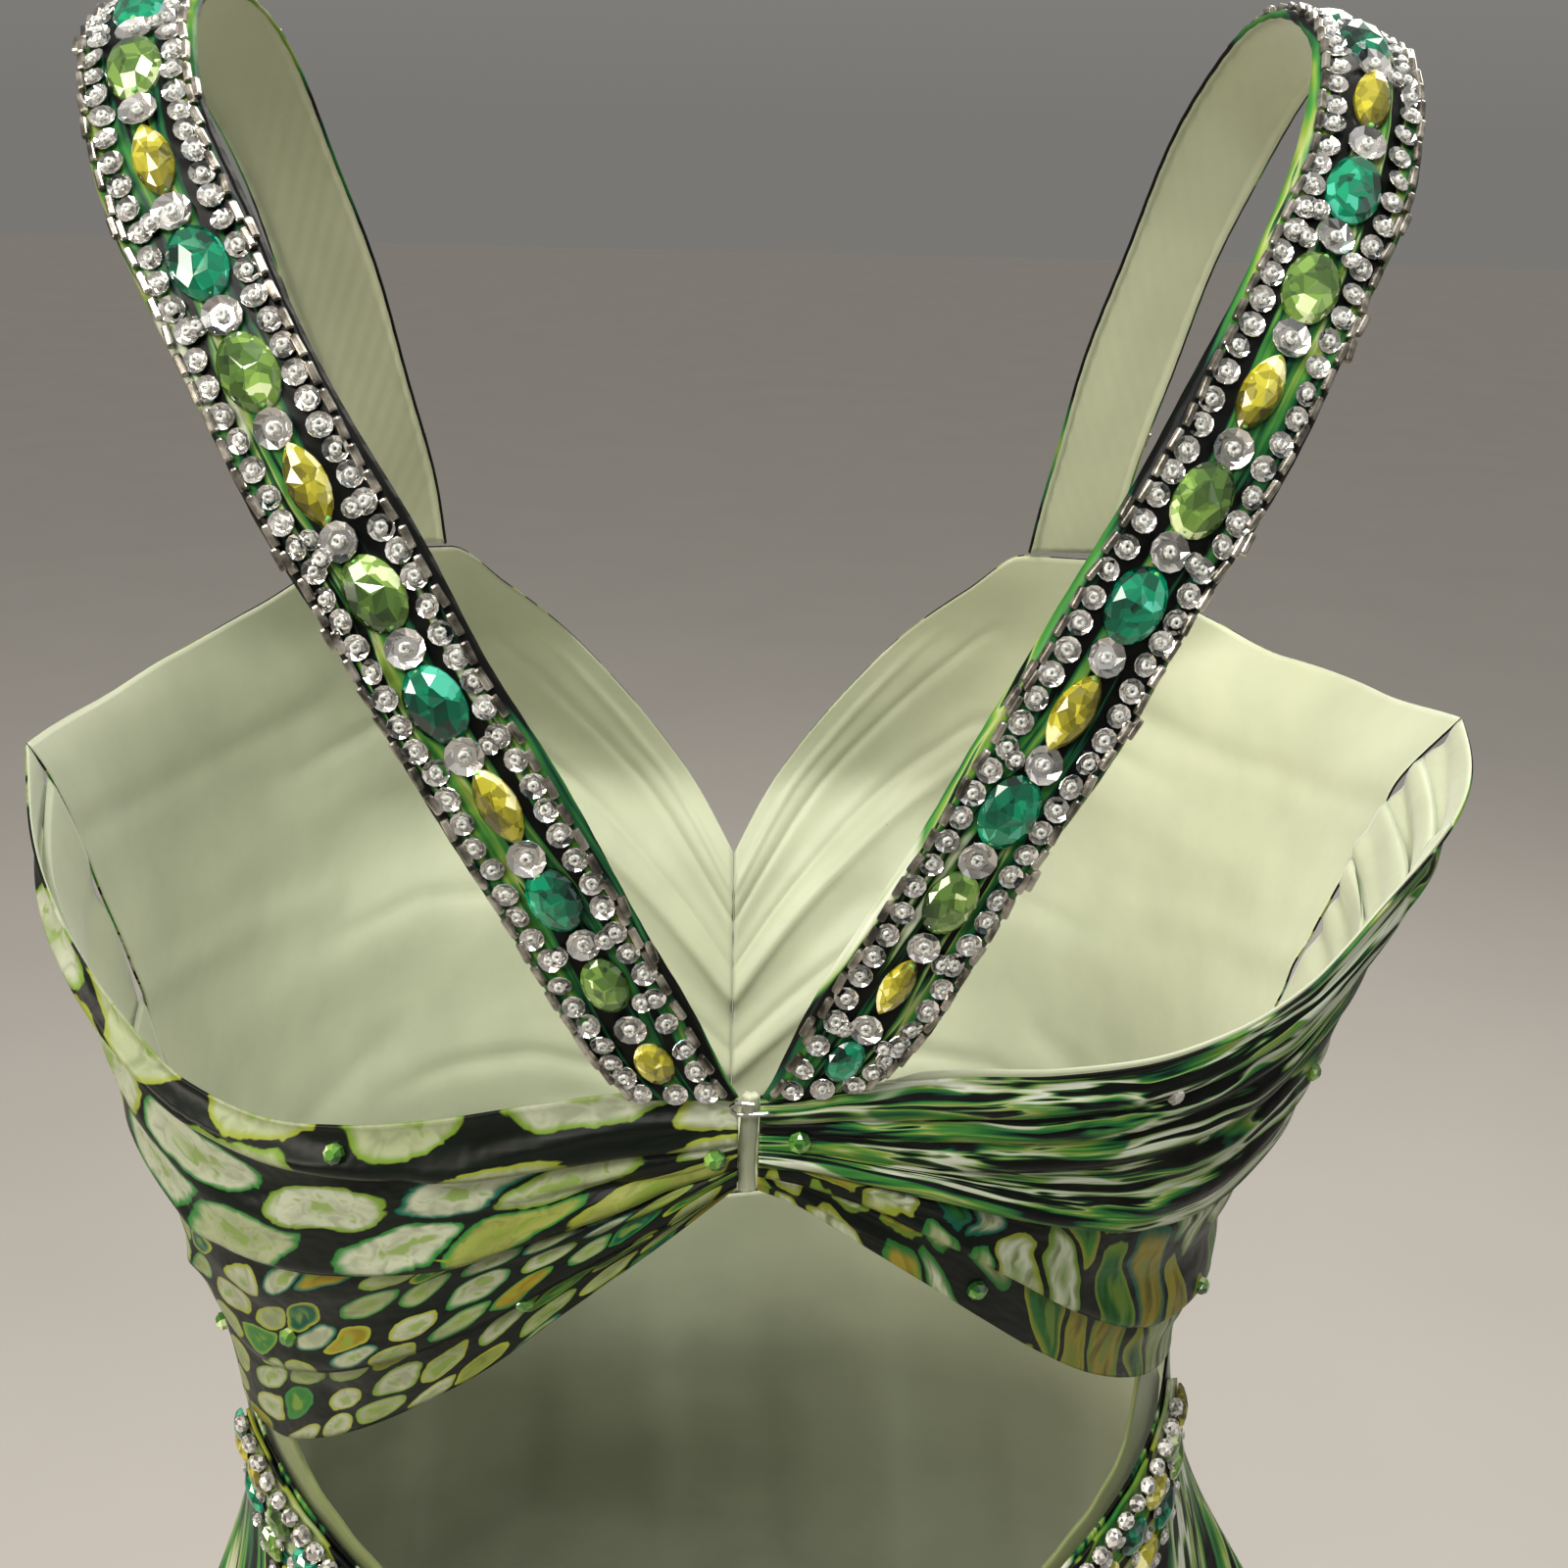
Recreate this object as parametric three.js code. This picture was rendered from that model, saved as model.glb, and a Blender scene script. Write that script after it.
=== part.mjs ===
// Floor-length beaded gown with a V back, two pleated back bands and a rounded back opening.
// Every panel is a cloth wall bent round one hollow outline. The origin lies midway between the tops of the
// two shoulder straps. +Z is up, +Y is behind the wearer and +X is the wearer's left. Sizes are in mm.
import * as THREE from "three";

// ---- Driving sizes ----
const CLOTH = 1.5; // a lined and pressed panel
const SEAM_GAP = 0.3;
const HEM_DROP = 1400; // from the top of the shoulder strap to the hem
const STRAP_WIDTH = 21.5;
const STRAP_WALL = 1.8;
const STRAP_FOOT = 9.6; // half the length of the strap's cut end on the back band
const STONE_PITCH = 20.6;
const FOOT_PITCH = 18.2; // stones sit closer just above the back band
const OVAL = { length: 14, width: 10, height: 3.2 };
const NAVETTE = { length: 15, width: 7, height: 2.8 };
const TRIM_WALL = 1.2;
const TRIM_PITCH = 12;
const SEAM_TURN = 0.001; // half a seam gap, as a share of a quarter of the outline
const TAB_WIDTH = 3.3;
const TAB_DROPS = { top: 184.2, low: 206.5 };
const HOOK_WIRE = 0.9;

// A table holds one object for each row, made from its column names.
const tableOf = (columns, rows) =>
  rows.map((row) => Object.fromEntries(columns.map((name, place) => [name, row[place]])));

// The outline of the gown, cut level at each drop below the strap tops: half widths, depths from the side
// seam, and the power of the rounded rectangle that joins them.
const outline = tableOf(["drop", "left", "right", "back", "front", "power"], [
  [-20, 177, 177, 22, 22, 2.4],
  [0, 192, 192, 40, 40, 2.4],
  [30, 197, 197, 68, 57, 2.5],
  [70, 194, 194, 88, 70, 2.6],
  [130, 174, 172, 100, 99, 2.5],
  [160, 155, 149, 99, 121, 2.4],
  [200, 143, 134, 94, 128, 2.3],
  [230, 136.5, 122.5, 88, 112, 2.3],
  [260, 129.5, 113, 82, 99, 2.3],
  [290, 123, 108.5, 76, 92, 2.3],
  [320, 120.5, 112, 71, 89, 2.3],
  [345, 123, 119, 69, 89, 2.3],
  [370, 129, 128, 71, 90, 2.3],
  [400, 137, 138, 78, 94, 2.3],
  [460, 150, 152, 97, 102, 2.3],
  [560, 168, 168, 116, 110, 2.3],
  [640, 178, 178, 122, 117, 2.3],
  [800, 206, 206, 142, 136, 2.2],
  [1000, 244, 244, 178, 165, 2.2],
  [1200, 284, 284, 218, 197, 2.1],
  [1400, 326, 326, 262, 230, 2.1],
]);

// ---- Curves through tables ----
// The slope through a row is the harmonic mean of its neighbours', so the curve never overshoots its rows.
function slopeAt(table, key, column, row) {
  const rise = (from) =>
    (table[from + 1][column] - table[from][column]) / (table[from + 1][key] - table[from][key]);
  if (row === 0) {
    return rise(0);
  }
  if (row === table.length - 1) {
    return rise(row - 1);
  }
  const before = rise(row - 1);
  const after = rise(row);
  return before * after <= 0 ? 0 : (2 * before * after) / (before + after);
}

function readAt(table, key, column, at) {
  const last = table.length - 1;
  const place = Math.min(Math.max(at, table[0][key]), table[last][key]);
  let row = 0;
  while (row < last - 1 && table[row + 1][key] < place) {
    row += 1;
  }
  const span = table[row + 1][key] - table[row][key];
  const share = (place - table[row][key]) / span;
  const start = table[row][column];
  const end = table[row + 1][column];
  const leave = slopeAt(table, key, column, row) * span;
  const arrive = slopeAt(table, key, column, row + 1) * span;
  const turnIn = share * share * (3 - 2 * share);
  return (
    start + (end - start) * turnIn +
    leave * share * (1 - share) ** 2 - arrive * share * share * (1 - share)
  );
}

const mix = (a, b, share) => a + (b - a) * share;

function ease(from, to, at) {
  const share = Math.min(Math.max((at - from) / (to - from), 0), 1);
  return share * share * (3 - 2 * share);
}

// ---- Places on the outline ----
// A turn counts quarters of the outline: 0 at the centre back, 1 at the side seam, 2 at the centre front.
const ARC_STEPS = 48;

function alongQuarter(wide, deep, power, share) {
  const corners = [];
  let walked = 0;
  for (let step = 0; step <= ARC_STEPS; step += 1) {
    const angle = (Math.PI / 2) * (1 - step / ARC_STEPS);
    const x = wide * Math.max(Math.cos(angle), 0) ** (2 / power);
    const y = deep * Math.sin(angle) ** (2 / power);
    const before = corners.at(-1);
    walked += before ? Math.hypot(x - before.x, y - before.y) : 0;
    corners.push({ x, y, walked });
  }
  const target = walked * share;
  let corner = 1;
  while (corner < ARC_STEPS && corners[corner].walked < target) {
    corner += 1;
  }
  const a = corners[corner - 1];
  const b = corners[corner];
  const part = (target - a.walked) / (b.walked - a.walked);
  return { x: mix(a.x, b.x, part), y: mix(a.y, b.y, part), length: walked };
}

function quarterAt(side, turn, drop) {
  const wide = readAt(outline, "drop", side > 0 ? "left" : "right", drop);
  const deep = readAt(outline, "drop", turn <= 1 ? "back" : "front", drop);
  const power = readAt(outline, "drop", "power", drop);
  return alongQuarter(wide, deep, power, turn <= 1 ? turn : 2 - turn);
}

function outlinePoint(side, turn, drop) {
  const at = quarterAt(side, turn, drop);
  return new THREE.Vector3(side * at.x, turn <= 1 ? at.y : -at.y, -drop);
}

function outwardAt(side, turn, drop) {
  const reach = 0.01;
  const ahead = outlinePoint(side, Math.min(turn + reach, 2), drop);
  const behind = outlinePoint(side, Math.max(turn - reach, 0), drop);
  const below = outlinePoint(side, turn, drop + 1);
  const above = outlinePoint(side, turn, drop - 1);
  const outward = new THREE.Vector3().crossVectors(ahead.sub(behind), above.sub(below)).normalize();
  const here = outlinePoint(side, turn, drop);
  return outward.dot(new THREE.Vector3(here.x, here.y, 0)) < 0 ? outward.negate() : outward;
}

const clothPoint = (side, turn, drop, lift) =>
  outlinePoint(side, turn, drop).addScaledVector(outwardAt(side, turn, drop), lift);

// ---- Closed cloth walls ----
// A wall has an outer and an inner net of points. Rims join their edges, also where one net is coarser.
function joinEdges(points, outer, inner, faces) {
  const lengths = (line) => {
    const walked = [0];
    for (let place = 1; place < line.length; place += 1) {
      walked.push(walked[place - 1] + points[line[place]].distanceTo(points[line[place - 1]]));
    }
    return walked.map((length) => length / walked.at(-1));
  };
  const outerShare = lengths(outer);
  const innerShare = lengths(inner);
  let a = 0;
  let b = 0;
  while (a < outer.length - 1 || b < inner.length - 1) {
    const outerIsNext = a < outer.length - 1 && outerShare[a + 1] <= innerShare[b + 1];
    if (outerIsNext || b === inner.length - 1) {
      faces.push([outer[a + 1], outer[a], inner[b]]);
      a += 1;
    } else {
      faces.push([inner[b], inner[b + 1], outer[a]]);
      b += 1;
    }
  }
}

function closedWall(outerNet, innerNet) {
  const points = [];
  const faces = [];
  const numbered = (net) => net.map((row) => row.map((point) => points.push(point) - 1));
  const outer = numbered(outerNet);
  const inner = numbered(innerNet);
  const cover = (net, flipped) => {
    for (let row = 0; row < net.length - 1; row += 1) {
      for (let place = 0; place < net[0].length - 1; place += 1) {
        const near = [net[row][place], net[row][place + 1]];
        const far = [net[row + 1][place + 1], net[row + 1][place]];
        const corners = [...near, ...far];
        const [a, b, c, d] = flipped ? corners.reverse() : corners;
        faces.push([a, b, c], [a, c, d]);
      }
    }
  };
  cover(outer, false);
  cover(inner, true);
  const column = (net, place) => net.map((row) => row.at(place));
  joinEdges(points, outer[0], inner[0], faces);
  joinEdges(points, column(outer, -1), column(inner, -1), faces);
  joinEdges(points, [...outer.at(-1)].reverse(), [...inner.at(-1)].reverse(), faces);
  joinEdges(points, column(outer, 0).reverse(), column(inner, 0).reverse(), faces);
  return solidFrom(points, faces);
}

function solidFrom(points, faces) {
  const volume = faces.reduce((sum, [a, b, c]) => {
    const across = new THREE.Vector3().crossVectors(points[b], points[c]);
    return sum + points[a].dot(across);
  }, 0);
  const outward = volume > 0 ? faces : faces.map(([a, b, c]) => [a, c, b]);
  const geometry = new THREE.BufferGeometry();
  const places = points.flatMap((point) => point.toArray());
  geometry.setAttribute("position", new THREE.Float32BufferAttribute(places, 3));
  geometry.setIndex(outward.flat());
  geometry.computeVertexNormals();
  return geometry;
}

// The inner net of a folded cloth follows the outer one, one wall thickness inside it.
function insideOf(net, thickness) {
  return net.map((row, down) =>
    row.map((point, along) => {
      const right = row[Math.min(along + 1, row.length - 1)];
      const left = row[Math.max(along - 1, 0)];
      const below = net[Math.min(down + 1, net.length - 1)][along];
      const above = net[Math.max(down - 1, 0)][along];
      const outward = new THREE.Vector3().crossVectors(
        new THREE.Vector3().subVectors(right, left),
        new THREE.Vector3().subVectors(below, above),
      ).normalize();
      const level = new THREE.Vector3(point.x, point.y, 0);
      const inward = outward.dot(level) > 0 ? -thickness : thickness;
      return point.clone().addScaledVector(outward, inward);
    }),
  );
}

const evenly = (count, from, to) =>
  Array.from({ length: count + 1 }, (_, step) => mix(from, to, step / count));

// ---- The gown and its materials ----
const gown = new THREE.Group();

function addPiece(name, geometry, colour, roughness, metalness = 0) {
  const material = new THREE.MeshStandardMaterial({ color: colour, roughness, metalness });
  const piece = new THREE.Mesh(geometry, material);
  piece.name = name;
  gown.add(piece);
}

const sides = [
  { name: "left", side: 1 },
  { name: "right", side: -1 },
];

// ---- Back bands ----
// Drops of the top and lower edges of each half, from the centre back round to the side seam.
const bandEdges = {
  left: tableOf(["turn", "top", "low"], [
    [0, 185.5, 204],
    [0.05, 185, 214],
    [0.1, 184.7, 223.5],
    [0.2, 188.5, 241],
    [0.3, 194, 258.5],
    [0.4, 198.7, 272.5],
    [0.5, 201.4, 285],
    [0.6, 199, 295.5],
    [0.7, 188, 303],
    [0.85, 168, 306],
    [1, 152, 307],
  ]),
  right: tableOf(["turn", "top", "low"], [
    [0, 185, 205.5],
    [0.05, 184, 210],
    [0.1, 182.5, 217],
    [0.2, 182, 231],
    [0.3, 183.6, 245],
    [0.4, 184.2, 258.5],
    [0.5, 182, 270.5],
    [0.6, 176, 280],
    [0.7, 160, 287.5],
    [0.85, 149, 294],
    [1, 142, 297],
  ]),
};

// Each fold is a layer laid over the one below it. Its edge runs from a share of the band's depth at the
// centre back to another at the side seam, counted upwards, and it stands proud there by its depth.
const bandFolds = {
  left: tableOf(["centre", "side", "depth"], [
    [0.22, 0.26, 1],
    [0.46, 0.6, 1.7],
    [0.76, 0.95, 2],
  ]),
  right: tableOf(["centre", "side", "depth"], [
    [0.38, 0.2, 2],
    [0.52, 0.53, 2],
    [0.63, 0.78, 1.4],
    [0.76, 0.87, 1.2],
    [0.88, 0.94, 1],
  ]),
};
const FOLD_STEP = 0.9;

function bandRows(folds) {
  const rows = [{ centre: 0, side: 0, step: 0, depth: 0.3 }];
  for (const fold of folds) {
    rows.push({ ...fold, step: -FOLD_STEP, depth: 0.2 });
    rows.push({ ...fold, step: 0, depth: fold.depth });
  }
  rows.push({ centre: 1, side: 1, step: 0, depth: 0.3 });
  return rows;
}

function backBand(name, side) {
  const edges = bandEdges[name];
  const centreTurn = name === "left" ? 0.0095 : 0.011;
  const turns = evenly(22, 0, 1).map((share) => mix(centreTurn, 1 - SEAM_TURN, share ** 1.15));
  const edgeAt = (turn, share, step) => {
    const top = readAt(edges, "turn", "top", turn);
    const low = readAt(edges, "turn", "low", turn);
    return mix(low, top, share) - step;
  };
  const outer = bandRows(bandFolds[name]).map((row) =>
    turns.map((turn) => {
      const share = mix(row.centre, row.side, ease(0, 0.6, turn));
      const calm = 1 - 0.6 * ease(0.8, 1, turn);
      return clothPoint(side, turn, edgeAt(turn, share, row.step), row.depth * calm);
    }),
  );
  const inner = [0, 0.5, 1].map((share) =>
    turns.map((turn) => clothPoint(side, turn, edgeAt(turn, share, 0), -CLOTH)),
  );
  return closedWall(outer, inner);
}

for (const { name, side } of sides) {
  addPiece(`back_band_${name}`, backBand(name, side), 0x4c5a2c, 0.5);
}

// ---- Centre back closure ----
function closureTab() {
  const half = TAB_WIDTH / 2;
  const centre = -0.15;
  const drops = evenly(3, TAB_DROPS.top, TAB_DROPS.low);
  const net = (lift) =>
    drops.map((drop) =>
      [-half, 0, half].map((across) => {
        const at = outlinePoint(1, 0, drop);
        const crown = lift > 0 ? 0.6 * (1 - Math.abs(across) / half) : 0;
        return new THREE.Vector3(centre + across, at.y + lift + crown, at.z);
      }),
    );
  return closedWall(net(0.4), net(-CLOTH));
}

function closureHook() {
  const seat = outlinePoint(1, 0, TAB_DROPS.top + 2);
  const lift = 2.1;
  const route = new THREE.CatmullRomCurve3([
    new THREE.Vector3(seat.x - 4.6, seat.y + lift, seat.z - 1),
    new THREE.Vector3(seat.x - 1, seat.y + lift + 0.5, seat.z - 1),
    new THREE.Vector3(seat.x + 2.4, seat.y + lift + 0.2, seat.z - 1),
    new THREE.Vector3(seat.x + 3.4, seat.y + lift, seat.z),
    new THREE.Vector3(seat.x + 2.4, seat.y + lift + 0.2, seat.z + 1),
    new THREE.Vector3(seat.x - 1, seat.y + lift + 0.5, seat.z + 1),
  ]);
  const section = new THREE.Shape();
  for (let corner = 0; corner < 6; corner += 1) {
    const angle = (Math.PI / 3) * corner;
    const place = [(HOOK_WIRE / 2) * Math.cos(angle), (HOOK_WIRE / 2) * Math.sin(angle)];
    if (corner === 0) {
      section.moveTo(...place);
    } else {
      section.lineTo(...place);
    }
  }
  return new THREE.ExtrudeGeometry(section, { steps: 12, extrudePath: route, bevelEnabled: false });
}

addPiece("closure_tab", closureTab(), 0xb9c39a, 0.45);
addPiece("closure_hook", closureHook(), 0x9a9a94, 0.3, 0.9);

// ---- Shoulder straps ----
// The middle of the strap's underside, from the back band over the shoulder to the front neckline.
const strapRoute = new THREE.CatmullRomCurve3([
  [12, 96.6, -184.3],
  [16.8, 97.4, -176.5],
  [25.4, 98.5, -160.2],
  [33.8, 98.9, -144],
  [43, 98.7, -127],
  [53, 96.6, -110.2],
  [63, 92.2, -92.6],
  [74.3, 86.8, -75],
  [84.6, 79.5, -57.4],
  [94.4, 69.6, -40.2],
  [103.2, 58, -24.4],
  [108.6, 42, -9.5],
  [111, 22, -1.6],
  [111, 2, 0],
  [109.6, -18, -4],
  [106.8, -37, -17],
  [102.6, -51, -36],
  [98, -61.5, -58],
  [93.5, -71, -82],
  [90.4, -79.5, -104],
  [88.5, -89.2, -125.7],
].map((place) => new THREE.Vector3(...place)));

// Where the strap lies flat on the shoulder blade it faces straight out of the outline. Over the shoulder it
// faces up and a little away from the neck.
function strapFacing(point) {
  const turn = turnFor(point);
  const flat = outwardAt(1, turn, Math.max(-point.z, 5));
  const crest = new THREE.Vector3(0.3, point.y / 45, 0.95).normalize();
  return crest.lerp(flat, ease(8, 55, -point.z)).normalize();
}

function turnFor(point) {
  const turns = point.y > 0 ? evenly(40, 0, 1) : evenly(40, 2, 1);
  const reach = (turn) => Math.abs(outlinePoint(1, turn, -point.z).x - point.x);
  return turns.reduce((best, turn) => (reach(turn) < reach(best) ? turn : best));
}

// Stones in order from the back band, over the shoulder, to the front.
const STONES_ON_STRAP = 18;
const firstNavette = { left: 3, right: 1 };
const NAVETTE_EVERY = 3;
const FIRST_STONE = 9.5;
// The cut end follows the top of the back band, which climbs outwards on the right half.
const footClimb = { left: 0, right: 0.13 };
const FOOT_STONES = [0.66, 0.8, 0.9];

function stonesAlong(name, length) {
  const stones = [];
  let along = FIRST_STONE;
  for (let place = 0; place < STONES_ON_STRAP; place += 1) {
    const beyond = place - firstNavette[name];
    const pointed = beyond >= 0 && beyond % NAVETTE_EVERY === 0;
    const form = pointed ? NAVETTE : OVAL;
    const scale = FOOT_STONES[place] ?? 1;
    const [long, wide, high] = [form.length, form.width, form.height].map((size) => size * scale);
    if (along + long / 2 < length - 3) {
      stones.push({ along, length: long, width: wide, height: high });
    }
    along += mix(FOOT_PITCH, STONE_PITCH, ease(0, 5, place));
  }
  return stones;
}

// A stone stands up as a low dome with a steep rim.
function domeHeight(stone, along, across) {
  const away = (2 * (along - stone.along) / stone.length) ** 2 + (2 * across / stone.width) ** 2;
  return away < 1 ? stone.height * Math.sqrt(1 - away) : 0;
}

function strapWall(name, side) {
  const length = strapRoute.getLength();
  const stones = stonesAlong(name, length);
  const steps = stones.flatMap(({ along, length: long }) =>
    [-0.54, -0.34, 0, 0.34, 0.54].map((share) => along + share * long),
  );
  const shares = [-1, -0.6, -0.36, 0, 0.36, 0.6, 1];
  const placeAt = (along, share, lift) => {
    const part = along / length;
    const point = strapRoute.getPointAt(part);
    const facing = strapFacing(point);
    const ahead = strapRoute.getTangentAt(part);
    const square = new THREE.Vector3().crossVectors(facing, ahead).normalize();
    const nearFoot = 1 - ease(0, 24, along);
    const nearFront = 1 - ease(0, 24, length - along);
    const level = new THREE.Vector3(1, 0, footClimb[name] * nearFoot);
    const across = square.lerp(level, Math.max(nearFoot, nearFront)).normalize();
    const half = mix(STRAP_WIDTH / 2, STRAP_FOOT, nearFoot);
    const place = point.addScaledVector(across, share * half).addScaledVector(facing, lift);
    return new THREE.Vector3(side * place.x, place.y, place.z + STRAP_FOOT * footClimb[name] * nearFoot);
  };
  const outer = [0, ...steps, length].map((along) =>
    shares.map((share) => {
      const stone = stones.find((one) => Math.abs(one.along - along) < one.length * 0.6);
      const dome = stone ? domeHeight(stone, along, share * STRAP_WIDTH / 2) : 0;
      return placeAt(along, share, STRAP_WALL + dome + 0.3 * (1 - Math.abs(share)));
    }),
  );
  const inner = evenly(34, 0, length).map((along) => [-1, 0, 1].map((share) => placeAt(along, share, 0)));
  return closedWall(outer, inner);
}

for (const { name, side } of sides) {
  addPiece(`strap_${name}`, strapWall(name, side), 0x8c8f7c, 0.35);
}

// ---- Front bodice ----
// Drops of the neckline and armhole edge, and of the waist seam, from the side seam to the centre front.
const frontTop = {
  left: tableOf(["turn", "drop"], [
    [1, 152], [1.15, 153], [1.3, 149], [1.42, 141], [1.5, 132], [1.55, 126.5], [1.66, 126.5],
    [1.72, 139], [1.8, 160], [1.9, 190], [2, 224],
  ]),
  right: tableOf(["turn", "drop"], [
    [1, 142], [1.15, 146], [1.3, 146], [1.42, 140], [1.5, 132], [1.55, 126.5], [1.66, 126.5],
    [1.72, 139], [1.8, 160], [1.9, 190], [2, 224],
  ]),
};
const waistSeam = {
  left: tableOf(["turn", "drop"], [[1, 307], [1.3, 310], [1.6, 317], [2, 324]]),
  right: tableOf(["turn", "drop"], [[1, 297], [1.3, 304], [1.6, 315], [2, 324]]),
};
// Soft gathers fan out from the centre front over the bust.
const frontGathers = tableOf(["centre", "side", "depth"], [
  [0.3, 0.34, 2.2],
  [0.52, 0.55, 2.6],
  [0.74, 0.78, 2.2],
]);
const GATHER_REACH = 0.13;

function frontBodice(name, side) {
  const turns = [
    ...evenly(9, 1 + SEAM_TURN, 1.53),
    1.556,
    1.605,
    1.655,
    ...evenly(6, 1.7, 2 - SEAM_TURN * 0.7),
  ];
  const shares = evenly(11, 0, 1);
  const net = shares.map((share) =>
    turns.map((turn) => {
      const low = readAt(waistSeam[name], "turn", "drop", turn) - SEAM_GAP;
      const top = readAt(frontTop[name], "turn", "drop", turn);
      const away = 2 - turn;
      const lift = frontGathers.reduce((sum, gather) => {
        const line = mix(gather.centre, gather.side, away);
        const near = Math.max(0, 1 - Math.abs(share - line) / GATHER_REACH);
        return sum + gather.depth * near * (1 - 0.7 * ease(0.3, 1, away));
      }, 0);
      return clothPoint(side, turn, mix(low, top, share), lift);
    }),
  );
  return closedWall(net, insideOf(net, CLOTH));
}

for (const { name, side } of sides) {
  addPiece(`bodice_front_${name}`, frontBodice(name, side), 0x4c5a2c, 0.5);
}

// ---- Edge of the back opening ----
// Drops of the skirt's cut edge from the centre back to where it meets the back band.
const openingEdge = {
  left: tableOf(["turn", "drop"], [
    [0, 368], [0.15, 366.5], [0.3, 359], [0.42, 349], [0.52, 338.5], [0.61, 328.5], [0.69, 320],
    [0.75, 312.5], [0.79, 306],
  ]),
  right: tableOf(["turn", "drop"], [
    [0, 368], [0.15, 366], [0.3, 357.5], [0.42, 345.5], [0.52, 331.5], [0.61, 322], [0.69, 314],
    [0.75, 308], [0.8, 300], [0.825, 293.5],
  ]),
};

function skirtTop(name, turn) {
  if (turn > 1) {
    return readAt(waistSeam[name], "turn", "drop", turn);
  }
  const edge = openingEdge[name];
  const open = turn <= edge.at(-1).turn;
  return open ? readAt(edge, "turn", "drop", turn) : readAt(bandEdges[name], "turn", "low", turn) + SEAM_GAP;
}

// ---- Skirt ----
// Hanging folds of each half. Around runs from -1 at the right side seam through 0 at the centre to 1 at the
// left one, reach is half a fold's width on the same scale, and depth is how far it stands out at the hem.
const skirtFolds = {
  back: tableOf(["around", "reach", "depth", "start"], [
    [-0.9, 0.1, 16, 335],
    [-0.68, 0.14, 25, 560],
    [-0.45, 0.11, 19, 470],
    [-0.22, 0.13, 28, 620],
    [0.02, 0.11, 22, 450],
    [0.25, 0.12, 27, 580],
    [0.48, 0.12, 20, 500],
    [0.7, 0.12, 26, 640],
    [0.9, 0.1, 15, 360],
  ]),
  front: tableOf(["around", "reach", "depth", "start"], [
    [-0.88, 0.11, 18, 520],
    [-0.66, 0.12, 24, 430],
    [-0.42, 0.13, 20, 600],
    [-0.2, 0.1, 23, 480],
    [0.01, 0.12, 19, 560],
    [0.22, 0.11, 25, 440],
    [0.45, 0.13, 21, 620],
    [0.67, 0.11, 24, 500],
    [0.88, 0.11, 17, 580],
  ]),
};
const EARLY_FOLD = 380; // folds that start above this drop are already full at the hip

function foldLift(panel, around, drop) {
  return skirtFolds[panel].reduce((sum, fold) => {
    const away = Math.abs(around - fold.around) / fold.reach;
    const bump = away < 1 ? 0.5 + 0.5 * Math.cos(Math.PI * away) : 0;
    const hip = fold.start < EARLY_FOLD ? 0.4 * ease(fold.start, fold.start + 70, drop) : 0;
    const hang = ease(fold.start, HEM_DROP + 300, drop) / ease(fold.start, HEM_DROP + 300, HEM_DROP);
    return sum + fold.depth * bump * Math.max(hip, hang);
  }, 0);
}

const FALLS = [0, 0.012, 0.026, 0.042, 0.062, 0.09, 0.13, 0.19, 0.28, 0.39, 0.52, 0.66, 0.82, 1];
const SKIRT_COLUMNS = 46;

function skirtPanel(panel) {
  const limit = 1 - SEAM_TURN;
  const net = FALLS.map((fall) =>
    evenly(SKIRT_COLUMNS, -limit, limit).map((around) => {
      const side = around < 0 ? -1 : 1;
      const name = side > 0 ? "left" : "right";
      const turn = panel === "back" ? Math.abs(around) : 2 - Math.abs(around);
      const drop = mix(skirtTop(name, turn), HEM_DROP, fall);
      return clothPoint(side, turn, drop, foldLift(panel, around, drop));
    }),
  );
  return closedWall(net, insideOf(net, CLOTH));
}

addPiece("skirt_back", skirtPanel("back"), 0x3f5a2c, 0.5);
addPiece("skirt_front", skirtPanel("front"), 0x3f5a2c, 0.5);

// ---- Facing and beaded border of the opening ----
// A strip follows the cut edge. Reach is how far it goes from the edge on to the skirt, square to the edge.
function edgePlace(name, side, turn, reach) {
  const step = 0.01;
  const length = (at) => at * quarterAt(side, at, skirtTop(name, at)).length;
  const before = Math.max(turn - step, 0);
  const along = length(turn + step) - length(before);
  const rise = skirtTop(name, before) - skirtTop(name, turn + step);
  const slant = Math.hypot(along, rise);
  const drop = skirtTop(name, turn) + (reach * along) / slant;
  const girth = length(turn) + (reach * rise) / slant;
  return { turn: girth / quarterAt(side, turn, drop).length, drop };
}

// The facing shows inside the edge, and widest where it runs up behind the end of the back band.
const facingShow = tableOf(["turn", "show"], [[0, 2], [0.6, 2.2], [0.68, 4], [0.74, 9], [0.79, 15]]);
const FACING_LIFT = -2.2;
const FACING_WALL = 1;
const FACING_BACK = 8;
const CENTRE_TURN = 0.0015;
const FACING_END = 0.78;

function facingStrip(name, side) {
  const turns = evenly(24, CENTRE_TURN, FACING_END);
  const net = (lift) =>
    [0, 0.5, 1].map((share) =>
      turns.map((turn) => {
        const reach = mix(-readAt(facingShow, "turn", "show", turn), FACING_BACK, share);
        const at = edgePlace(name, side, turn, reach);
        return clothPoint(side, Math.max(at.turn, CENTRE_TURN), at.drop, lift);
      }),
    );
  return closedWall(net(FACING_LIFT), net(FACING_LIFT - FACING_WALL));
}

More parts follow.
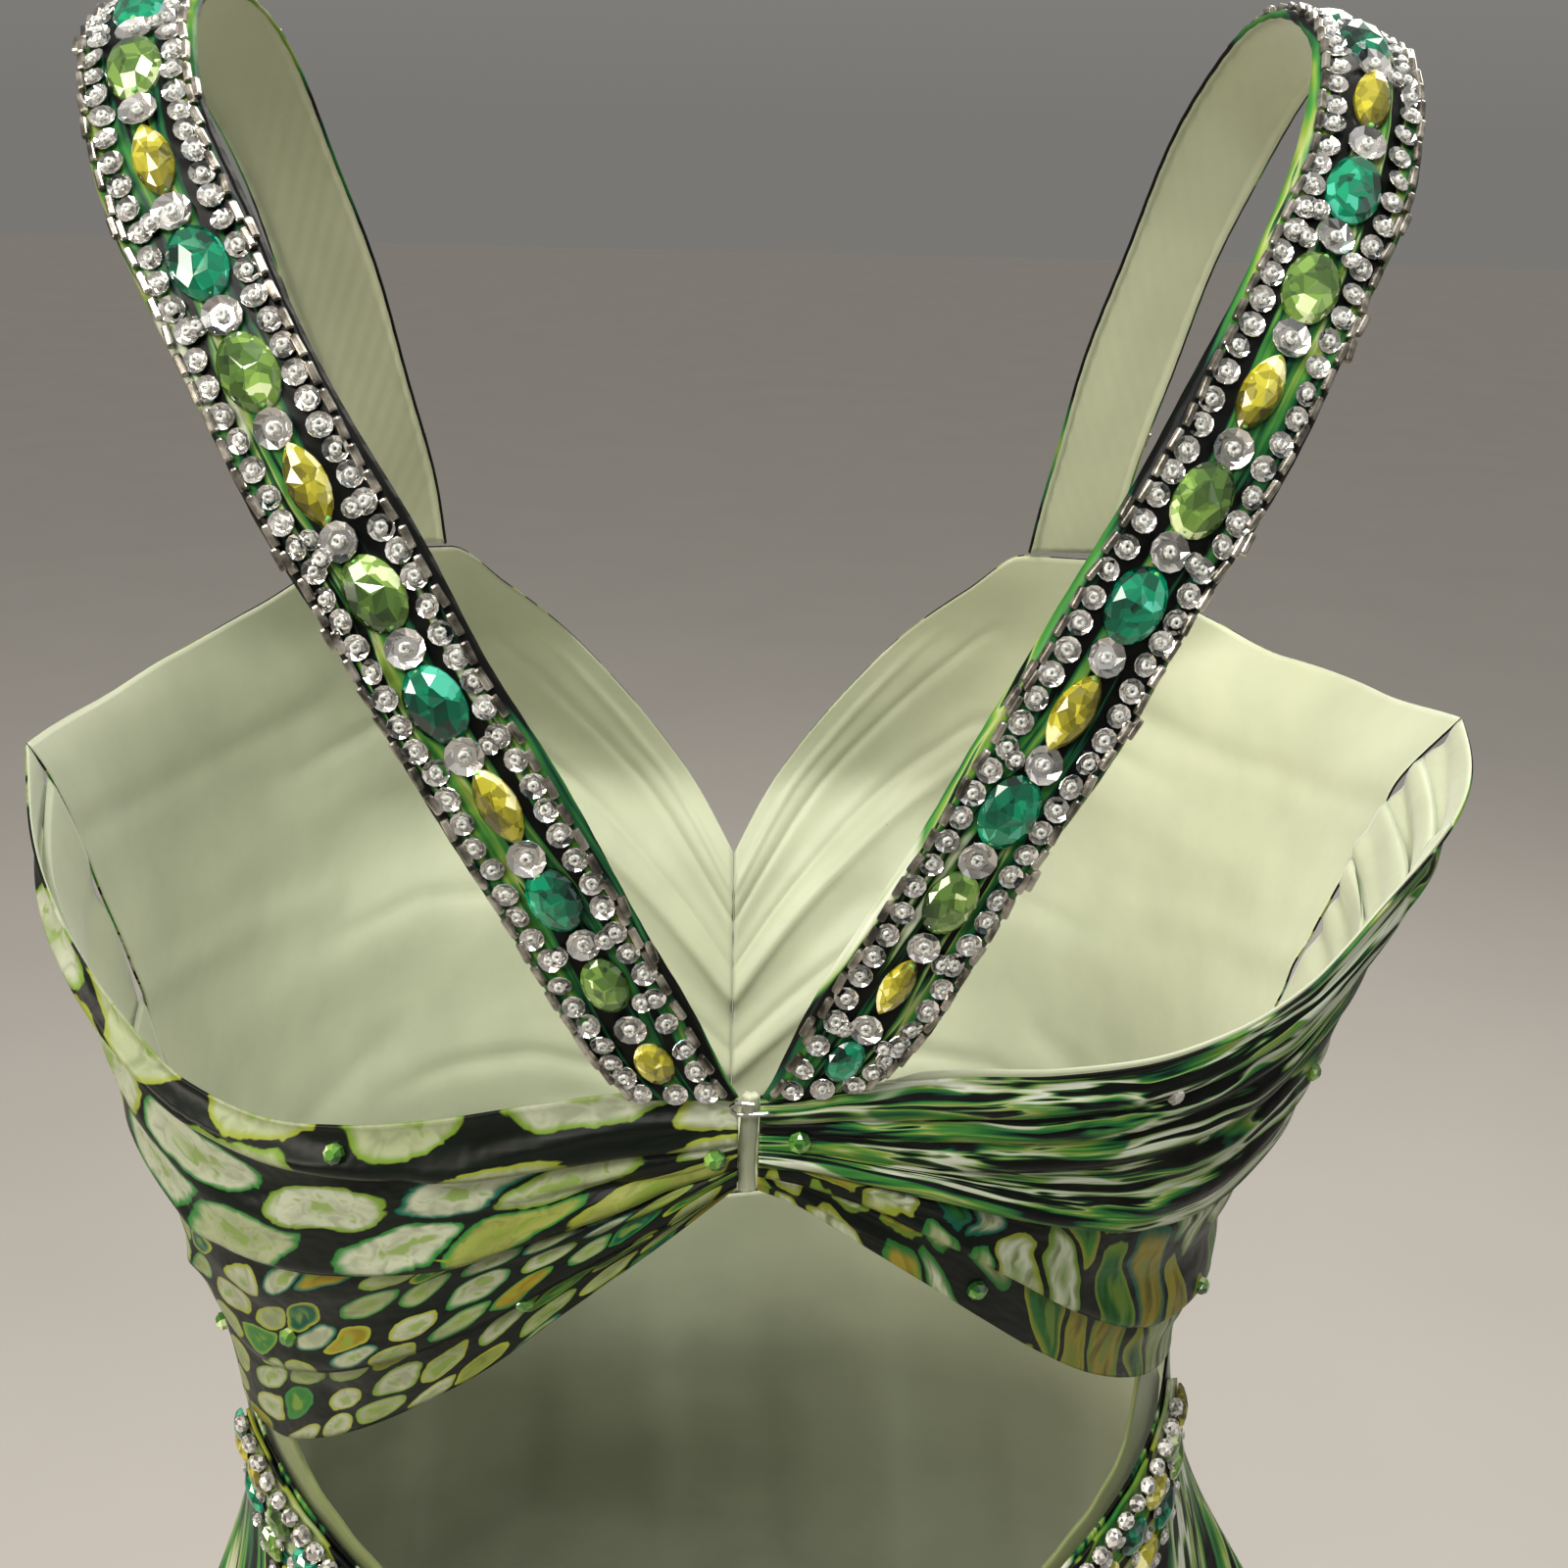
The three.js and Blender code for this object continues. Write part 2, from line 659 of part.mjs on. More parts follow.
// The border: an edge row of clear beads, then an inner row of ovals and an outer row of navettes.
const TRIM_LIFT = 0.5;
const TRIM_END = 0.8;
const TRIM_STONES = [
  { reach: 11.5, length: 10, width: 7.5, height: 2.6, offset: 0 },
  { reach: 20.5, length: 11, width: 6, height: 2.4, offset: 0.5 },
];
const TRIM_REACHES = [0.6, 3, 6, 9, 11.5, 14, 17.7, 20.5, 23.3, 26];
const BEAD_RIDGE = 1.6;
const TRIM_LENGTH = 150; // of each half, along the edge
const TRIM_STEPS = 27;

// The border narrows a little as it climbs to the side.
function trimPoint(name, side, turn, reach, lift) {
  const at = edgePlace(name, side, turn, reach * (1 - 0.25 * ease(0.6, TRIM_END, turn)));
  return clothPoint(side, Math.max(at.turn, CENTRE_TURN), at.drop, lift);
}

function trimStrip(name, side) {
  const turns = evenly(TRIM_STEPS, CENTRE_TURN, TRIM_END);
  const outer = TRIM_REACHES.map((reach) =>
    turns.map((turn, place) => {
      const along = (place / TRIM_STEPS) * TRIM_LENGTH;
      const ridge = reach > 1 && reach < 6 ? BEAD_RIDGE : 0;
      const stone = TRIM_STONES.find((one) => Math.abs(one.reach - reach) < 0.1);
      const beat = stone ? (along / TRIM_PITCH + stone.offset) % 1 : 0;
      const dome = stone ? stone.height * Math.abs(Math.sin(Math.PI * beat)) : 0;
      return trimPoint(name, side, turn, reach, TRIM_LIFT + TRIM_WALL + ridge + dome);
    }),
  );
  const inner = [TRIM_REACHES[0], 13, TRIM_REACHES.at(-1)].map((reach) =>
    turns.map((turn) => trimPoint(name, side, turn, reach, TRIM_LIFT)),
  );
  return closedWall(outer, inner);
}

for (const { name, side } of sides) {
  addPiece(`opening_facing_${name}`, facingStrip(name, side), 0x5b6233, 0.55);
  addPiece(`opening_trim_${name}`, trimStrip(name, side), 0x9fa58c, 0.35);
}

export default gown;
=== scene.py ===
import math

import bmesh
import bpy
import numpy as np
from mathutils import Matrix, Vector


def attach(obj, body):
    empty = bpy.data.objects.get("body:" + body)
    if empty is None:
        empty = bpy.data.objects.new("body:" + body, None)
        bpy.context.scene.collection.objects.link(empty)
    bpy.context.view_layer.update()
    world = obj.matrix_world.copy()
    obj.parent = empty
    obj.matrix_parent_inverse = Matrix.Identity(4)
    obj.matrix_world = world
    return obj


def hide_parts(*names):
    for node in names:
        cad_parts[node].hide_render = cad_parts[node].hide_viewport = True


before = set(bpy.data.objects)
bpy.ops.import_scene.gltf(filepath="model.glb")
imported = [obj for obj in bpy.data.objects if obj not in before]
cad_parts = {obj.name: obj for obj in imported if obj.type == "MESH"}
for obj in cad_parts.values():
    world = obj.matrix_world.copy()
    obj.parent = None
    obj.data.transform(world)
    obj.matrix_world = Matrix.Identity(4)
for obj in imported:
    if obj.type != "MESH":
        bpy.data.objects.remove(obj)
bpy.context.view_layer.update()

# ---- Camera ----
# Close behind the shoulders, looking down the back at a slant: both straps, the clasp and the pleated bands
# fill the frame, and the edge of the back opening shows along its foot.
FOCAL_PIXELS, FRAME_PIXELS = 1868.3, 1600
SENSOR_WIDTH = 36
CAMERA_PLACE = (0.0081, 0.3898, -0.0168)
CAMERA_YAW, CAMERA_PITCH, CAMERA_ROLL = (math.radians(angle) for angle in (-2.55, 20.07, 1.5))

camera_data = bpy.data.cameras.new("camera")
camera = bpy.data.objects.new("camera", camera_data)
bpy.context.scene.collection.objects.link(camera)
bpy.context.scene.camera = camera
camera_data.sensor_width = SENSOR_WIDTH
camera_data.lens = SENSOR_WIDTH * FOCAL_PIXELS / FRAME_PIXELS
camera_data.clip_start = 0.01
ahead = Vector((
    math.sin(CAMERA_YAW) * math.cos(CAMERA_PITCH),
    -math.cos(CAMERA_YAW) * math.cos(CAMERA_PITCH),
    -math.sin(CAMERA_PITCH),
))
level = ahead.cross(Vector((0, 0, 1))).normalized()
upward = level.cross(ahead)
sideways = math.cos(CAMERA_ROLL) * level + math.sin(CAMERA_ROLL) * upward
upright = -math.sin(CAMERA_ROLL) * level + math.cos(CAMERA_ROLL) * upward
camera.matrix_world = Matrix((
    (sideways.x, upright.x, -ahead.x, CAMERA_PLACE[0]),
    (sideways.y, upright.y, -ahead.y, CAMERA_PLACE[1]),
    (sideways.z, upright.z, -ahead.z, CAMERA_PLACE[2]),
    (0, 0, 0, 1),
))

# ---- The hollow form the gown is cut to ----
# Every panel of cloth lies on one outline, which keeps the pose it was worn in. Lengths here are in mm, and a
# drop is measured downwards from the tops of the straps.
# Each row: drop, left half width, right half width, depth behind, depth in front, roundness.
OUTLINE = (
    (-20, 177, 177, 22, 22, 2.4),
    (0, 192, 192, 40, 40, 2.4),
    (30, 197, 197, 68, 57, 2.5),
    (70, 194, 194, 88, 70, 2.6),
    (130, 174, 172, 100, 99, 2.5),
    (160, 155, 149, 99, 121, 2.4),
    (200, 143, 134, 94, 128, 2.3),
    (230, 136.5, 122.5, 88, 112, 2.3),
    (260, 129.5, 113, 82, 99, 2.3),
    (290, 123, 108.5, 76, 92, 2.3),
    (320, 120.5, 112, 71, 89, 2.3),
    (345, 123, 119, 69, 89, 2.3),
    (370, 129, 128, 71, 90, 2.3),
    (400, 137, 138, 78, 94, 2.3),
    (460, 150, 152, 97, 102, 2.3),
    (560, 168, 168, 116, 110, 2.3),
    (640, 178, 178, 122, 117, 2.3),
    (800, 206, 206, 142, 136, 2.2),
    (1000, 244, 244, 178, 165, 2.2),
    (1200, 284, 284, 218, 197, 2.1),
    (1400, 326, 326, 262, 230, 2.1),
)
FIRST_DROP, HEM_DROP = -20, 1400
DROP_STEP = 2.0
QUARTER_STEPS = 128
QUARTER_ANGLES = 193


def smooth_read(table, column, at):
    """Read a column of a table against its first one, along a curve that never overshoots its rows."""
    table = np.asarray(table, float)
    keys, values = table[:, 0], table[:, column]
    at = np.clip(at, keys[0], keys[-1])
    rise = np.diff(values) / np.diff(keys)
    before, after = rise[:-1], rise[1:]
    same_way = before * after > 0
    between = np.where(same_way, 2 * before * after / np.where(same_way, before + after, 1), 0)
    slopes = np.concatenate((rise[:1], between, rise[-1:]))
    row = np.clip(np.searchsorted(keys, at, side="left") - 1, 0, len(keys) - 2)
    span = keys[row + 1] - keys[row]
    share = (at - keys[row]) / span
    turn_in = share * share * (3 - 2 * share)
    return (
        values[row] + (values[row + 1] - values[row]) * turn_in
        + slopes[row] * span * share * (1 - share) ** 2
        - slopes[row + 1] * span * share * share * (1 - share)
    )


def mix(start, end, share):
    return start + (end - start) * share


def ease(start, end, at):
    share = np.clip((at - start) / (end - start), 0, 1)
    return share * share * (3 - 2 * share)


def half_form(side):
    """Points and outward directions of one half. A turn is 0 centre back, 1 side seam, 2 centre front."""
    drops = np.arange(FIRST_DROP, HEM_DROP + 2 * DROP_STEP, DROP_STEP)
    angles = np.linspace(math.pi / 2, 0, QUARTER_ANGLES)
    wide = smooth_read(OUTLINE, 1 if side > 0 else 2, drops)
    power = 2 / smooth_read(OUTLINE, 5, drops)[:, None]
    shares = np.linspace(0, 1, QUARTER_STEPS + 1)
    quarters = []
    for column in (3, 4):
        deep = smooth_read(OUTLINE, column, drops)
        x = wide[:, None] * np.maximum(np.cos(angles), 0) ** power
        y = deep[:, None] * np.maximum(np.sin(angles), 0) ** power
        steps = np.hypot(np.diff(x, axis=1), np.diff(y, axis=1))
        walked = np.hstack((np.zeros((len(drops), 1)), np.cumsum(steps, axis=1)))
        girth = walked[:, -1]
        even_x, even_y = (
            np.array([np.interp(shares * girth[row], walked[row], field[row]) for row in range(len(drops))])
            for field in (x, y)
        )
        quarters.append((even_x, even_y, girth))
    behind, before = quarters
    x = np.hstack((behind[0], before[0][:, -2::-1]))
    y = np.hstack((behind[1], -before[1][:, -2::-1]))
    points = np.stack((side * x, y, np.repeat(-drops[:, None], x.shape[1], axis=1)), axis=-1)
    round_way = np.gradient(points, axis=1)
    down_way = np.gradient(points, axis=0)
    outward = side * np.cross(round_way, down_way)
    outward[:, (0, -1), 0] = 0
    outward /= np.linalg.norm(outward, axis=-1, keepdims=True)
    return points, outward, np.stack((behind[2], before[2]))


HALF_FORMS = {side: half_form(side) for side in (1, -1)}


def on_form(side, turn, drop, lift=0.0):
    """Places in mm on the outline of one half, moved outwards by a lift."""
    points, outward, _ = HALF_FORMS[side]
    turn, drop, lift = np.broadcast_arrays(np.asarray(turn, float), drop, lift)
    row = np.clip((drop - FIRST_DROP) / DROP_STEP, 0, points.shape[0] - 1.001)
    column = np.clip(turn * QUARTER_STEPS, 0, points.shape[1] - 1.001)
    low_row, low_column = row.astype(int), column.astype(int)
    down, along = (row - low_row)[..., None], (column - low_column)[..., None]

    def blend(field):
        upper = mix(field[low_row, low_column], field[low_row, low_column + 1], along)
        lower = mix(field[low_row + 1, low_column], field[low_row + 1, low_column + 1], along)
        return mix(upper, lower, down)

    way = blend(outward)
    return blend(points) + way / np.linalg.norm(way, axis=-1, keepdims=True) * lift[..., None]


def way_out(side, turn, drop):
    """Outward directions of the outline."""
    return on_form(side, turn, drop, 1.0) - on_form(side, turn, drop, 0.0)


def girth_at(side, behind, drop):
    """Length in mm of a quarter of the outline at a drop."""
    girths = HALF_FORMS[side][2][0 if behind else 1]
    return np.interp(drop, FIRST_DROP + DROP_STEP * np.arange(len(girths)), girths)


# ---- Printed satin and its lining ----
# Polyester charmeuse, printed with pebbles, slices and leaves in greens on black, over a pale green lining.
# The weave is too fine to see, so it gives a soft broad sheen that runs along the folds.


def linear(colour):
    """An sRGB hex colour as linear RGBA."""
    parts = [int(colour[place:place + 2], 16) / 255 for place in (1, 3, 5)]
    return (*(part / 12.92 if part <= 0.04045 else ((part + 0.055) / 1.055) ** 2.4 for part in parts), 1)


def add_node(tree, kind, inputs=None, stops=None, **settings):
    """Add a shader node with its settings, its colour stops, and its inputs as numbers or as links."""
    node = tree.nodes.new("ShaderNode" + kind)
    for name, value in settings.items():
        setattr(node, name, value)
    for name, value in (inputs or {}).items():
        if isinstance(value, bpy.types.NodeSocket):
            tree.links.new(value, node.inputs[name])
        else:
            node.inputs[name].default_value = value
    if stops:
        ramp = node.color_ramp.elements
        while len(ramp) < len(stops):
            ramp.new(1)
        for element, (place, colour) in zip(ramp, stops):
            element.position = place
            element.color = linear(colour)
    return node


def new_material(name, colour, **finish):
    """A material with its shader's constant sockets set, its tree and its shader."""
    material = bpy.data.materials.new(name)
    material.use_nodes = True
    material.diffuse_color = linear(colour)
    shader = material.node_tree.nodes["Principled BSDF"]
    shader.inputs["Base Color"].default_value = linear(colour)
    for socket, value in finish.items():
        shader.inputs[socket.replace("_", " ").title().replace("Ior", "IOR")].default_value = value
    return material, material.node_tree, shader


def motif_layer(tree, flat, size, turned, lean, randomness, reach, exponent):
    """Closed shapes strewn on the cloth: how far inside one a point is, its place in it, and its colour."""
    placed = add_node(tree, "Mapping", {
        "Vector": flat,
        "Rotation": (0, 0, math.radians(turned)),
        "Scale": (1 / size[0], 1 / size[1], 1),
    }).outputs[0]
    parts = add_node(tree, "SeparateXYZ", {0: placed})
    leaning = add_node(tree, "Math", {0: parts.outputs[1], 1: lean, 2: parts.outputs[0]},
                       operation="MULTIPLY_ADD")
    hexed = add_node(tree, "CombineXYZ", {0: leaning.outputs[0], 1: parts.outputs[1]}).outputs[0]
    cells = add_node(tree, "TexVoronoi", {
        "Vector": hexed, "Scale": 1.0, "Randomness": randomness, "Exponent": exponent,
    }, voronoi_dimensions="2D", distance="MINKOWSKI")
    edges = add_node(tree, "TexVoronoi", {
        "Vector": hexed, "Scale": 1.0, "Randomness": randomness,
    }, voronoi_dimensions="2D", feature="DISTANCE_TO_EDGE")
    from_rim = add_node(tree, "Math", {0: reach, 1: cells.outputs["Distance"]}, operation="SUBTRACT")
    inside = add_node(tree, "Math", {0: from_rim.outputs[0], 1: edges.outputs[0], 2: 0.12},
                      operation="SMOOTH_MIN").outputs[0]
    within = add_node(tree, "VectorMath", {0: hexed, 1: cells.outputs["Position"]},
                      operation="SUBTRACT").outputs[0]
    return inside, within, cells.outputs["Color"]


def printed_satin():
    """The print, read from each panel's own flat cutting pattern in mm and from its zone of the design."""
    material, tree, shader = new_material(
        "printed_polyester_satin", "#4c5a2c",
        roughness=0.36, specular_ior_level=0.12, sheen_weight=0.01, sheen_roughness=0.3, anisotropic=0.55,
    )
    pattern = add_node(tree, "UVMap", uv_map="cut").outputs[0]
    wander = add_node(tree, "TexNoise", {"Vector": pattern, "Scale": 0.035, "Detail": 1.5},
                      noise_dimensions="2D")
    centred = add_node(tree, "VectorMath", {0: wander.outputs["Color"], 1: (0.5, 0.5, 0.5)},
                       operation="SUBTRACT")
    flat = add_node(tree, "VectorMath", {0: centred.outputs[0], 1: (12, 12, 0), 2: pattern},
                    operation="MULTIPLY_ADD").outputs[0]
    brush = add_node(tree, "TexNoise", {"Vector": flat, "Scale": 0.26, "Detail": 1.6, "Distortion": 0.5},
                     noise_dimensions="2D").outputs[0]
    streaky = add_node(tree, "Mapping", {"Vector": flat, "Scale": (0.05, 0.6, 1)}).outputs[0]
    strokes = add_node(tree, "TexNoise", {"Vector": streaky, "Scale": 1.0, "Detail": 2.0},
                       noise_dimensions="2D").outputs[0]
    downward = add_node(tree, "Mapping", {"Vector": flat, "Scale": (0.42, 0.05, 1)}).outputs[0]
    veins = add_node(tree, "TexNoise", {"Vector": downward, "Scale": 1.0, "Detail": 2.0},
                     noise_dimensions="2D").outputs[0]
    zone = add_node(tree, "Attribute", attribute_name="zone").outputs["Fac"]
    blown = add_node(tree, "TexNoise", {"Vector": pattern, "Scale": 0.035, "Detail": 1.0},
                     noise_dimensions="2D").outputs[0]
    shifted = add_node(tree, "Math", {0: blown, 1: 0.5, 2: zone}, operation="MULTIPLY_ADD").outputs[0]

    def painted(layer, bodies, rim_at, grain, span, marks=0.4):
        """Colour a motif in its span of the design: a wet rim, a pale brushed body, a green heart."""
        inside, within, own = layer
        # Motifs dwindle where their own part of the design ends, so none of them is cut through.
        early = add_node(tree, "MapRange", {0: shifted, 1: span[0] - 0.3, 2: span[0], 3: 0.5, 4: 0.0})
        late = add_node(tree, "MapRange", {0: shifted, 1: span[1], 2: span[1] + 0.3, 3: 0.0, 4: 0.5})
        lost = add_node(tree, "Math", {0: early.outputs[0], 1: late.outputs[0]}).outputs[0]
        kept = add_node(tree, "Math", {0: inside, 1: lost}, operation="SUBTRACT").outputs[0]
        own_parts = add_node(tree, "SeparateColor", {0: own})
        body = add_node(tree, "ValToRGB", {0: own_parts.outputs[0]}, stops=bodies)
        body.color_ramp.interpolation = "CONSTANT"
        wash = add_node(tree, "ValToRGB", {0: grain}, stops=(
            (0.3, "#6f7f3c"), (0.45, "#bfc9a5"), (0.58, "#e6e9da")))
        washed = add_node(tree, "Mix", {0: marks, 6: body.outputs[0], 7: wash.outputs[0]},
                          data_type="RGBA", blend_type="MULTIPLY").outputs[2]
        wet = add_node(tree, "Math", {0: grain, 1: 0.08, 2: kept}, operation="MULTIPLY_ADD").outputs[0]
        rim_colour = add_node(tree, "ValToRGB", {0: own_parts.outputs[1]}, stops=(
            (0.0, "#7f8a2b"), (0.45, "#638027"), (0.7, "#2a6d2e"), (0.86, "#105742")))
        rim_colour.color_ramp.interpolation = "CONSTANT"
        rim = add_node(tree, "MapRange", {0: wet, 1: rim_at[1], 2: rim_at[2]},
                       interpolation_type="SMOOTHSTEP").outputs[0]
        rimmed = add_node(tree, "Mix", {0: rim, 6: rim_colour.outputs[0], 7: washed},
                          data_type="RGBA").outputs[2]
        edge = add_node(tree, "MapRange", {0: wet, 1: rim_at[0] - 0.012, 2: rim_at[0] + 0.012},
                        interpolation_type="SMOOTHSTEP").outputs[0]
        heart_size = add_node(tree, "VectorMath", {0: within}, operation="LENGTH").outputs["Value"]
        marked = add_node(tree, "Math", {0: grain, 1: -0.75, 2: heart_size},
                          operation="MULTIPLY_ADD").outputs[0]
        heart = add_node(tree, "MapRange", {0: marked, 1: -0.36, 2: -0.15, 3: 0.8, 4: 0.0},
                         interpolation_type="SMOOTHSTEP").outputs[0]
        hearted = add_node(tree, "Mix", {0: heart, 6: rimmed, 7: linear("#66802c")},
                           data_type="RGBA").outputs[2]
        return hearted, edge

    def feathered(pale, dark):
        """Long strokes side by side, each from a dark gap through a green rim to a pale quill."""
        calm = add_node(tree, "VectorMath", {0: centred.outputs[0], 1: (12, 4, 0), 2: pattern},
                        operation="MULTIPLY_ADD").outputs[0]
        drawn_out = add_node(tree, "Mapping", {"Vector": calm, "Scale": (0.019, 0.175, 1)}).outputs[0]
        quills = add_node(tree, "TexNoise", {
            "Vector": drawn_out, "Scale": 1.0, "Detail": 3.0, "Roughness": 0.58, "Distortion": 0.25,
        }, noise_dimensions="2D").outputs[0]
        patches = add_node(tree, "Mapping", {
            "Vector": flat, "Location": (40, 70, 0), "Scale": (0.02, 0.08, 1)}).outputs[0]
        which = add_node(tree, "TexNoise", {"Vector": patches, "Scale": 1.0, "Detail": 1.0},
                         noise_dimensions="2D").outputs[0]
        # Past a zone of 3 the strokes thin out to their dark gaps, as on the straps.
        thinned = add_node(tree, "MapRange", {0: zone, 1: 3.0, 2: 4.0, 3: 0.0, 4: -0.075}).outputs[0]
        quills = add_node(tree, "Math", {0: quills, 1: thinned}).outputs[0]
        past = add_node(tree, "MapRange", {0: zone, 1: 3.0, 2: 4.0, 3: 0.5, 4: 0.7}).outputs[0]
        paler = add_node(tree, "Math", {0: which, 1: past}, operation="SUBTRACT").outputs[0]
        choice = add_node(tree, "MapRange", {0: paler, 1: -0.02, 2: 0.02},
                          interpolation_type="SMOOTHSTEP").outputs[0]
        below, above = (
            add_node(tree, "ValToRGB", {0: quills}, stops=stops).outputs[0] for stops in (dark, pale))
        colour = add_node(tree, "Mix", {0: choice, 6: below, 7: above}, data_type="RGBA").outputs[2]
        shown = add_node(tree, "MapRange", {0: shifted, 1: 2.55, 2: 2.85},
                         interpolation_type="SMOOTHSTEP").outputs[0]
        return colour, shown

    pebble_bodies = ((0.0, "#9b9f89"), (0.4, "#879069"), (0.66, "#767d3c"), (0.8, "#867525"),
                     (0.87, "#306b2d"), (0.94, "#104e3c"))
    leaf_bodies = ((0.0, "#bcc1ae"), (0.36, "#a0ac7a"), (0.56, "#458736"), (0.74, "#286c2f"),
                   (0.86, "#0e533f"), (0.94, "#9e9434"))
    blade_bodies = ((0.0, "#c9cebc"), (0.48, "#aab38e"), (0.66, "#a08f34"), (0.8, "#3f8236"),
                    (0.9, "#286c2f"))
    slice_bodies = ((0.0, "#a8ad99"), (0.5, "#98a07f"), (0.86, "#8a914a"))
    coloured = add_node(tree, "Mix", {0: strokes, 6: linear("#080907"), 7: linear("#131b15")},
                        data_type="RGBA").outputs[2]
    # The zone runs from hanging blades at -1, through slices at 0, pebbles and leaves, to feathers at 3.
    for colour, edge in (
        painted(motif_layer(tree, flat, (10.5, 38), 5, 0.4, 0.7, 0.64, 1.6), blade_bodies, (0.1, 0.12, 0.27),
                veins, (-9, -0.3), 0.85),
        painted(motif_layer(tree, flat, (31, 18), -4, 0.25, 0.55, 0.5, 2.2), slice_bodies, (0.06, 0.07, 0.16),
                brush, (0.0, 0.6)),
        painted(motif_layer(tree, flat, (13.5, 9.6), 8, 0.45, 0.42, 0.475, 2.0), pebble_bodies,
                (0.07, 0.08, 0.2), brush, (0.9, 1.6)),
        painted(motif_layer(tree, flat, (46, 8), 0, 0.0, 0.85, 0.6, 1.4), leaf_bodies, (0.07, 0.09, 0.26),
                strokes, (1.9, 2.6), 0.7),
        feathered(
            ((0.405, "#0b0d0a"), (0.42, "#16321d"), (0.445, "#4f7a2f"), (0.465, "#8f9e6c"), (0.5, "#b2b9a2"),
             (0.55, "#c6cabb"), (0.575, "#7c9160"), (0.59, "#28532b"), (0.61, "#0c100c")),
            ((0.41, "#090b09"), (0.425, "#0c3327"), (0.46, "#215a2b"), (0.51, "#3f7a34"), (0.545, "#768e38"),
             (0.57, "#98a26d"), (0.585, "#275c2e"), (0.61, "#090b09")),
        ),
    ):
        coloured = add_node(tree, "Mix", {0: edge, 6: coloured, 7: colour}, data_type="RGBA").outputs[2]
    tree.links.new(coloured, shader.inputs["Base Color"])
    # Threads at 0.44 mm, three times coarser than real charmeuse so that they show. Slack puckers of 9 mm.
    thread = add_node(tree, "TexWave", {"Vector": pattern, "Scale": 1.0, "Distortion": 0.3},
                      wave_type="BANDS", bands_direction="DIAGONAL").outputs[1]
    puckers = add_node(tree, "TexNoise", {"Vector": pattern, "Scale": 0.11, "Detail": 2.0},
                       noise_dimensions="2D").outputs[0]
    woven = add_node(tree, "Bump", {"Strength": 0.1, "Distance": 0.00005, "Height": thread}).outputs[0]
    relief = add_node(tree, "Bump", {
        "Strength": 0.5, "Distance": 0.0012, "Height": puckers, "Normal": woven,
    }).outputs[0]
    tree.links.new(relief, shader.inputs["Normal"])
    return material


def lining_satin(name, colour):
    """Plain satin lining: a paler thread and soft puckers, with painted shade that darkens the puckers'
    hollows.
    """
    material, tree, shader = new_material(
        name, colour, roughness=0.42, sheen_weight=0.3, specular_ior_level=0.4)
    pattern = add_node(tree, "UVMap", uv_map="cut").outputs[0]
    pucker_height_and_shade = add_node(tree, "TexNoise", {"Vector": pattern, "Scale": 0.05, "Detail": 3.0},
                      noise_dimensions="2D").outputs[0]
    # Painted shade: the colour follows the puckers' height, darker in their hollows and paler on their
    # crests.
    tint = add_node(tree, "HueSaturation", {"Color": linear(colour)})
    value = add_node(tree, "MapRange", {0: pucker_height_and_shade, 3: 0.86, 4: 1.12}).outputs[0]
    tree.links.new(value, tint.inputs["Value"])
    tree.links.new(tint.outputs[0], shader.inputs["Base Color"])
    thread = add_node(tree, "TexWave", {"Vector": pattern, "Scale": 1.0, "Distortion": 0.3},
                      wave_type="BANDS", bands_direction="DIAGONAL").outputs[1]
    both = add_node(tree, "Math", {0: pucker_height_and_shade, 1: 130.0, 2: thread}, operation="MULTIPLY_ADD").outputs[0]
    relief = add_node(tree, "Bump", {"Strength": 0.1, "Distance": 0.00003, "Height": both}).outputs[0]
    tree.links.new(relief, shader.inputs["Normal"])
    return material


PRINTED_SATIN = printed_satin()
PALE_LINING = lining_satin("pale_green_satin_lining", "#b3b99b")
# The facing's olive is darker than the pale lining: partly its own colour, partly painted shade.
OLIVE_FACING_AND_PAINTED_SHADE = lining_satin("olive_satin_facing_and_painted_shade", "#6c7644")


def cloth_panel(name, columns, rows, place, print_at, wall, materials):
    """A panel of cloth: a grid that place() sets in mm, with its flat pattern, its print zone and a wall."""
    bpy.ops.object.select_all(action="DESELECT")
    bpy.ops.mesh.primitive_grid_add(x_subdivisions=columns, y_subdivisions=rows, size=2)
    panel = bpy.context.object
    panel.name = panel.data.name = name
    mesh = panel.data
    points = np.empty(len(mesh.vertices) * 3)
    mesh.vertices.foreach_get("co", points)
    across, up = (points.reshape(-1, 3)[:, :2].T + 1) / 2
    placed, outward = place(across, up)
    mesh.vertices.foreach_set("co", (placed / 1000).ravel())
    pattern, zone = print_at(across, up)
    corners = np.empty(len(mesh.loops), int)
    mesh.loops.foreach_get("vertex_index", corners)
    mesh.uv_layers[0].name = "cut"
    mesh.uv_layers["cut"].data.foreach_set("uv", pattern[corners].ravel())
    mesh.attributes.new("zone", "FLOAT", "POINT").data.foreach_set("value", zone)
    mesh.update()
    normals = np.empty(len(mesh.polygons) * 3)
    mesh.polygons.foreach_get("normal", normals)
    first = np.array([polygon.vertices[0] for polygon in mesh.polygons])
    if np.sum(normals.reshape(-1, 3) * outward[first]) < 0:
        mesh.flip_normals()
    for material in materials:
        mesh.materials.append(material)
    bpy.ops.object.shade_smooth()
    solid = panel.modifiers.new("wall", "SOLIDIFY")
    solid.thickness = wall / 1000
    solid.offset = -1
    solid.use_quality_normals = False
    solid.material_offset = len(materials) - 1
    bpy.ops.object.modifier_apply(modifier="wall")
    return panel


def finished(piece, slot, *replaced):
    """Ride on the gown's one body, for the CAD nodes that the piece stands for. The slot is not used."""
    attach(piece, "root")
    if replaced:
        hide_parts(*replaced)


# ---- Back bands ----
# Two lined bands cross from the side seams to the centre back clasp. Each is laid in flat pleats that lap one
# over the next, pressed at the side and drawn together into gathers at the clasp.
SIDES = (("left", 1), ("right", -1))
SATIN_WALL = 0.6
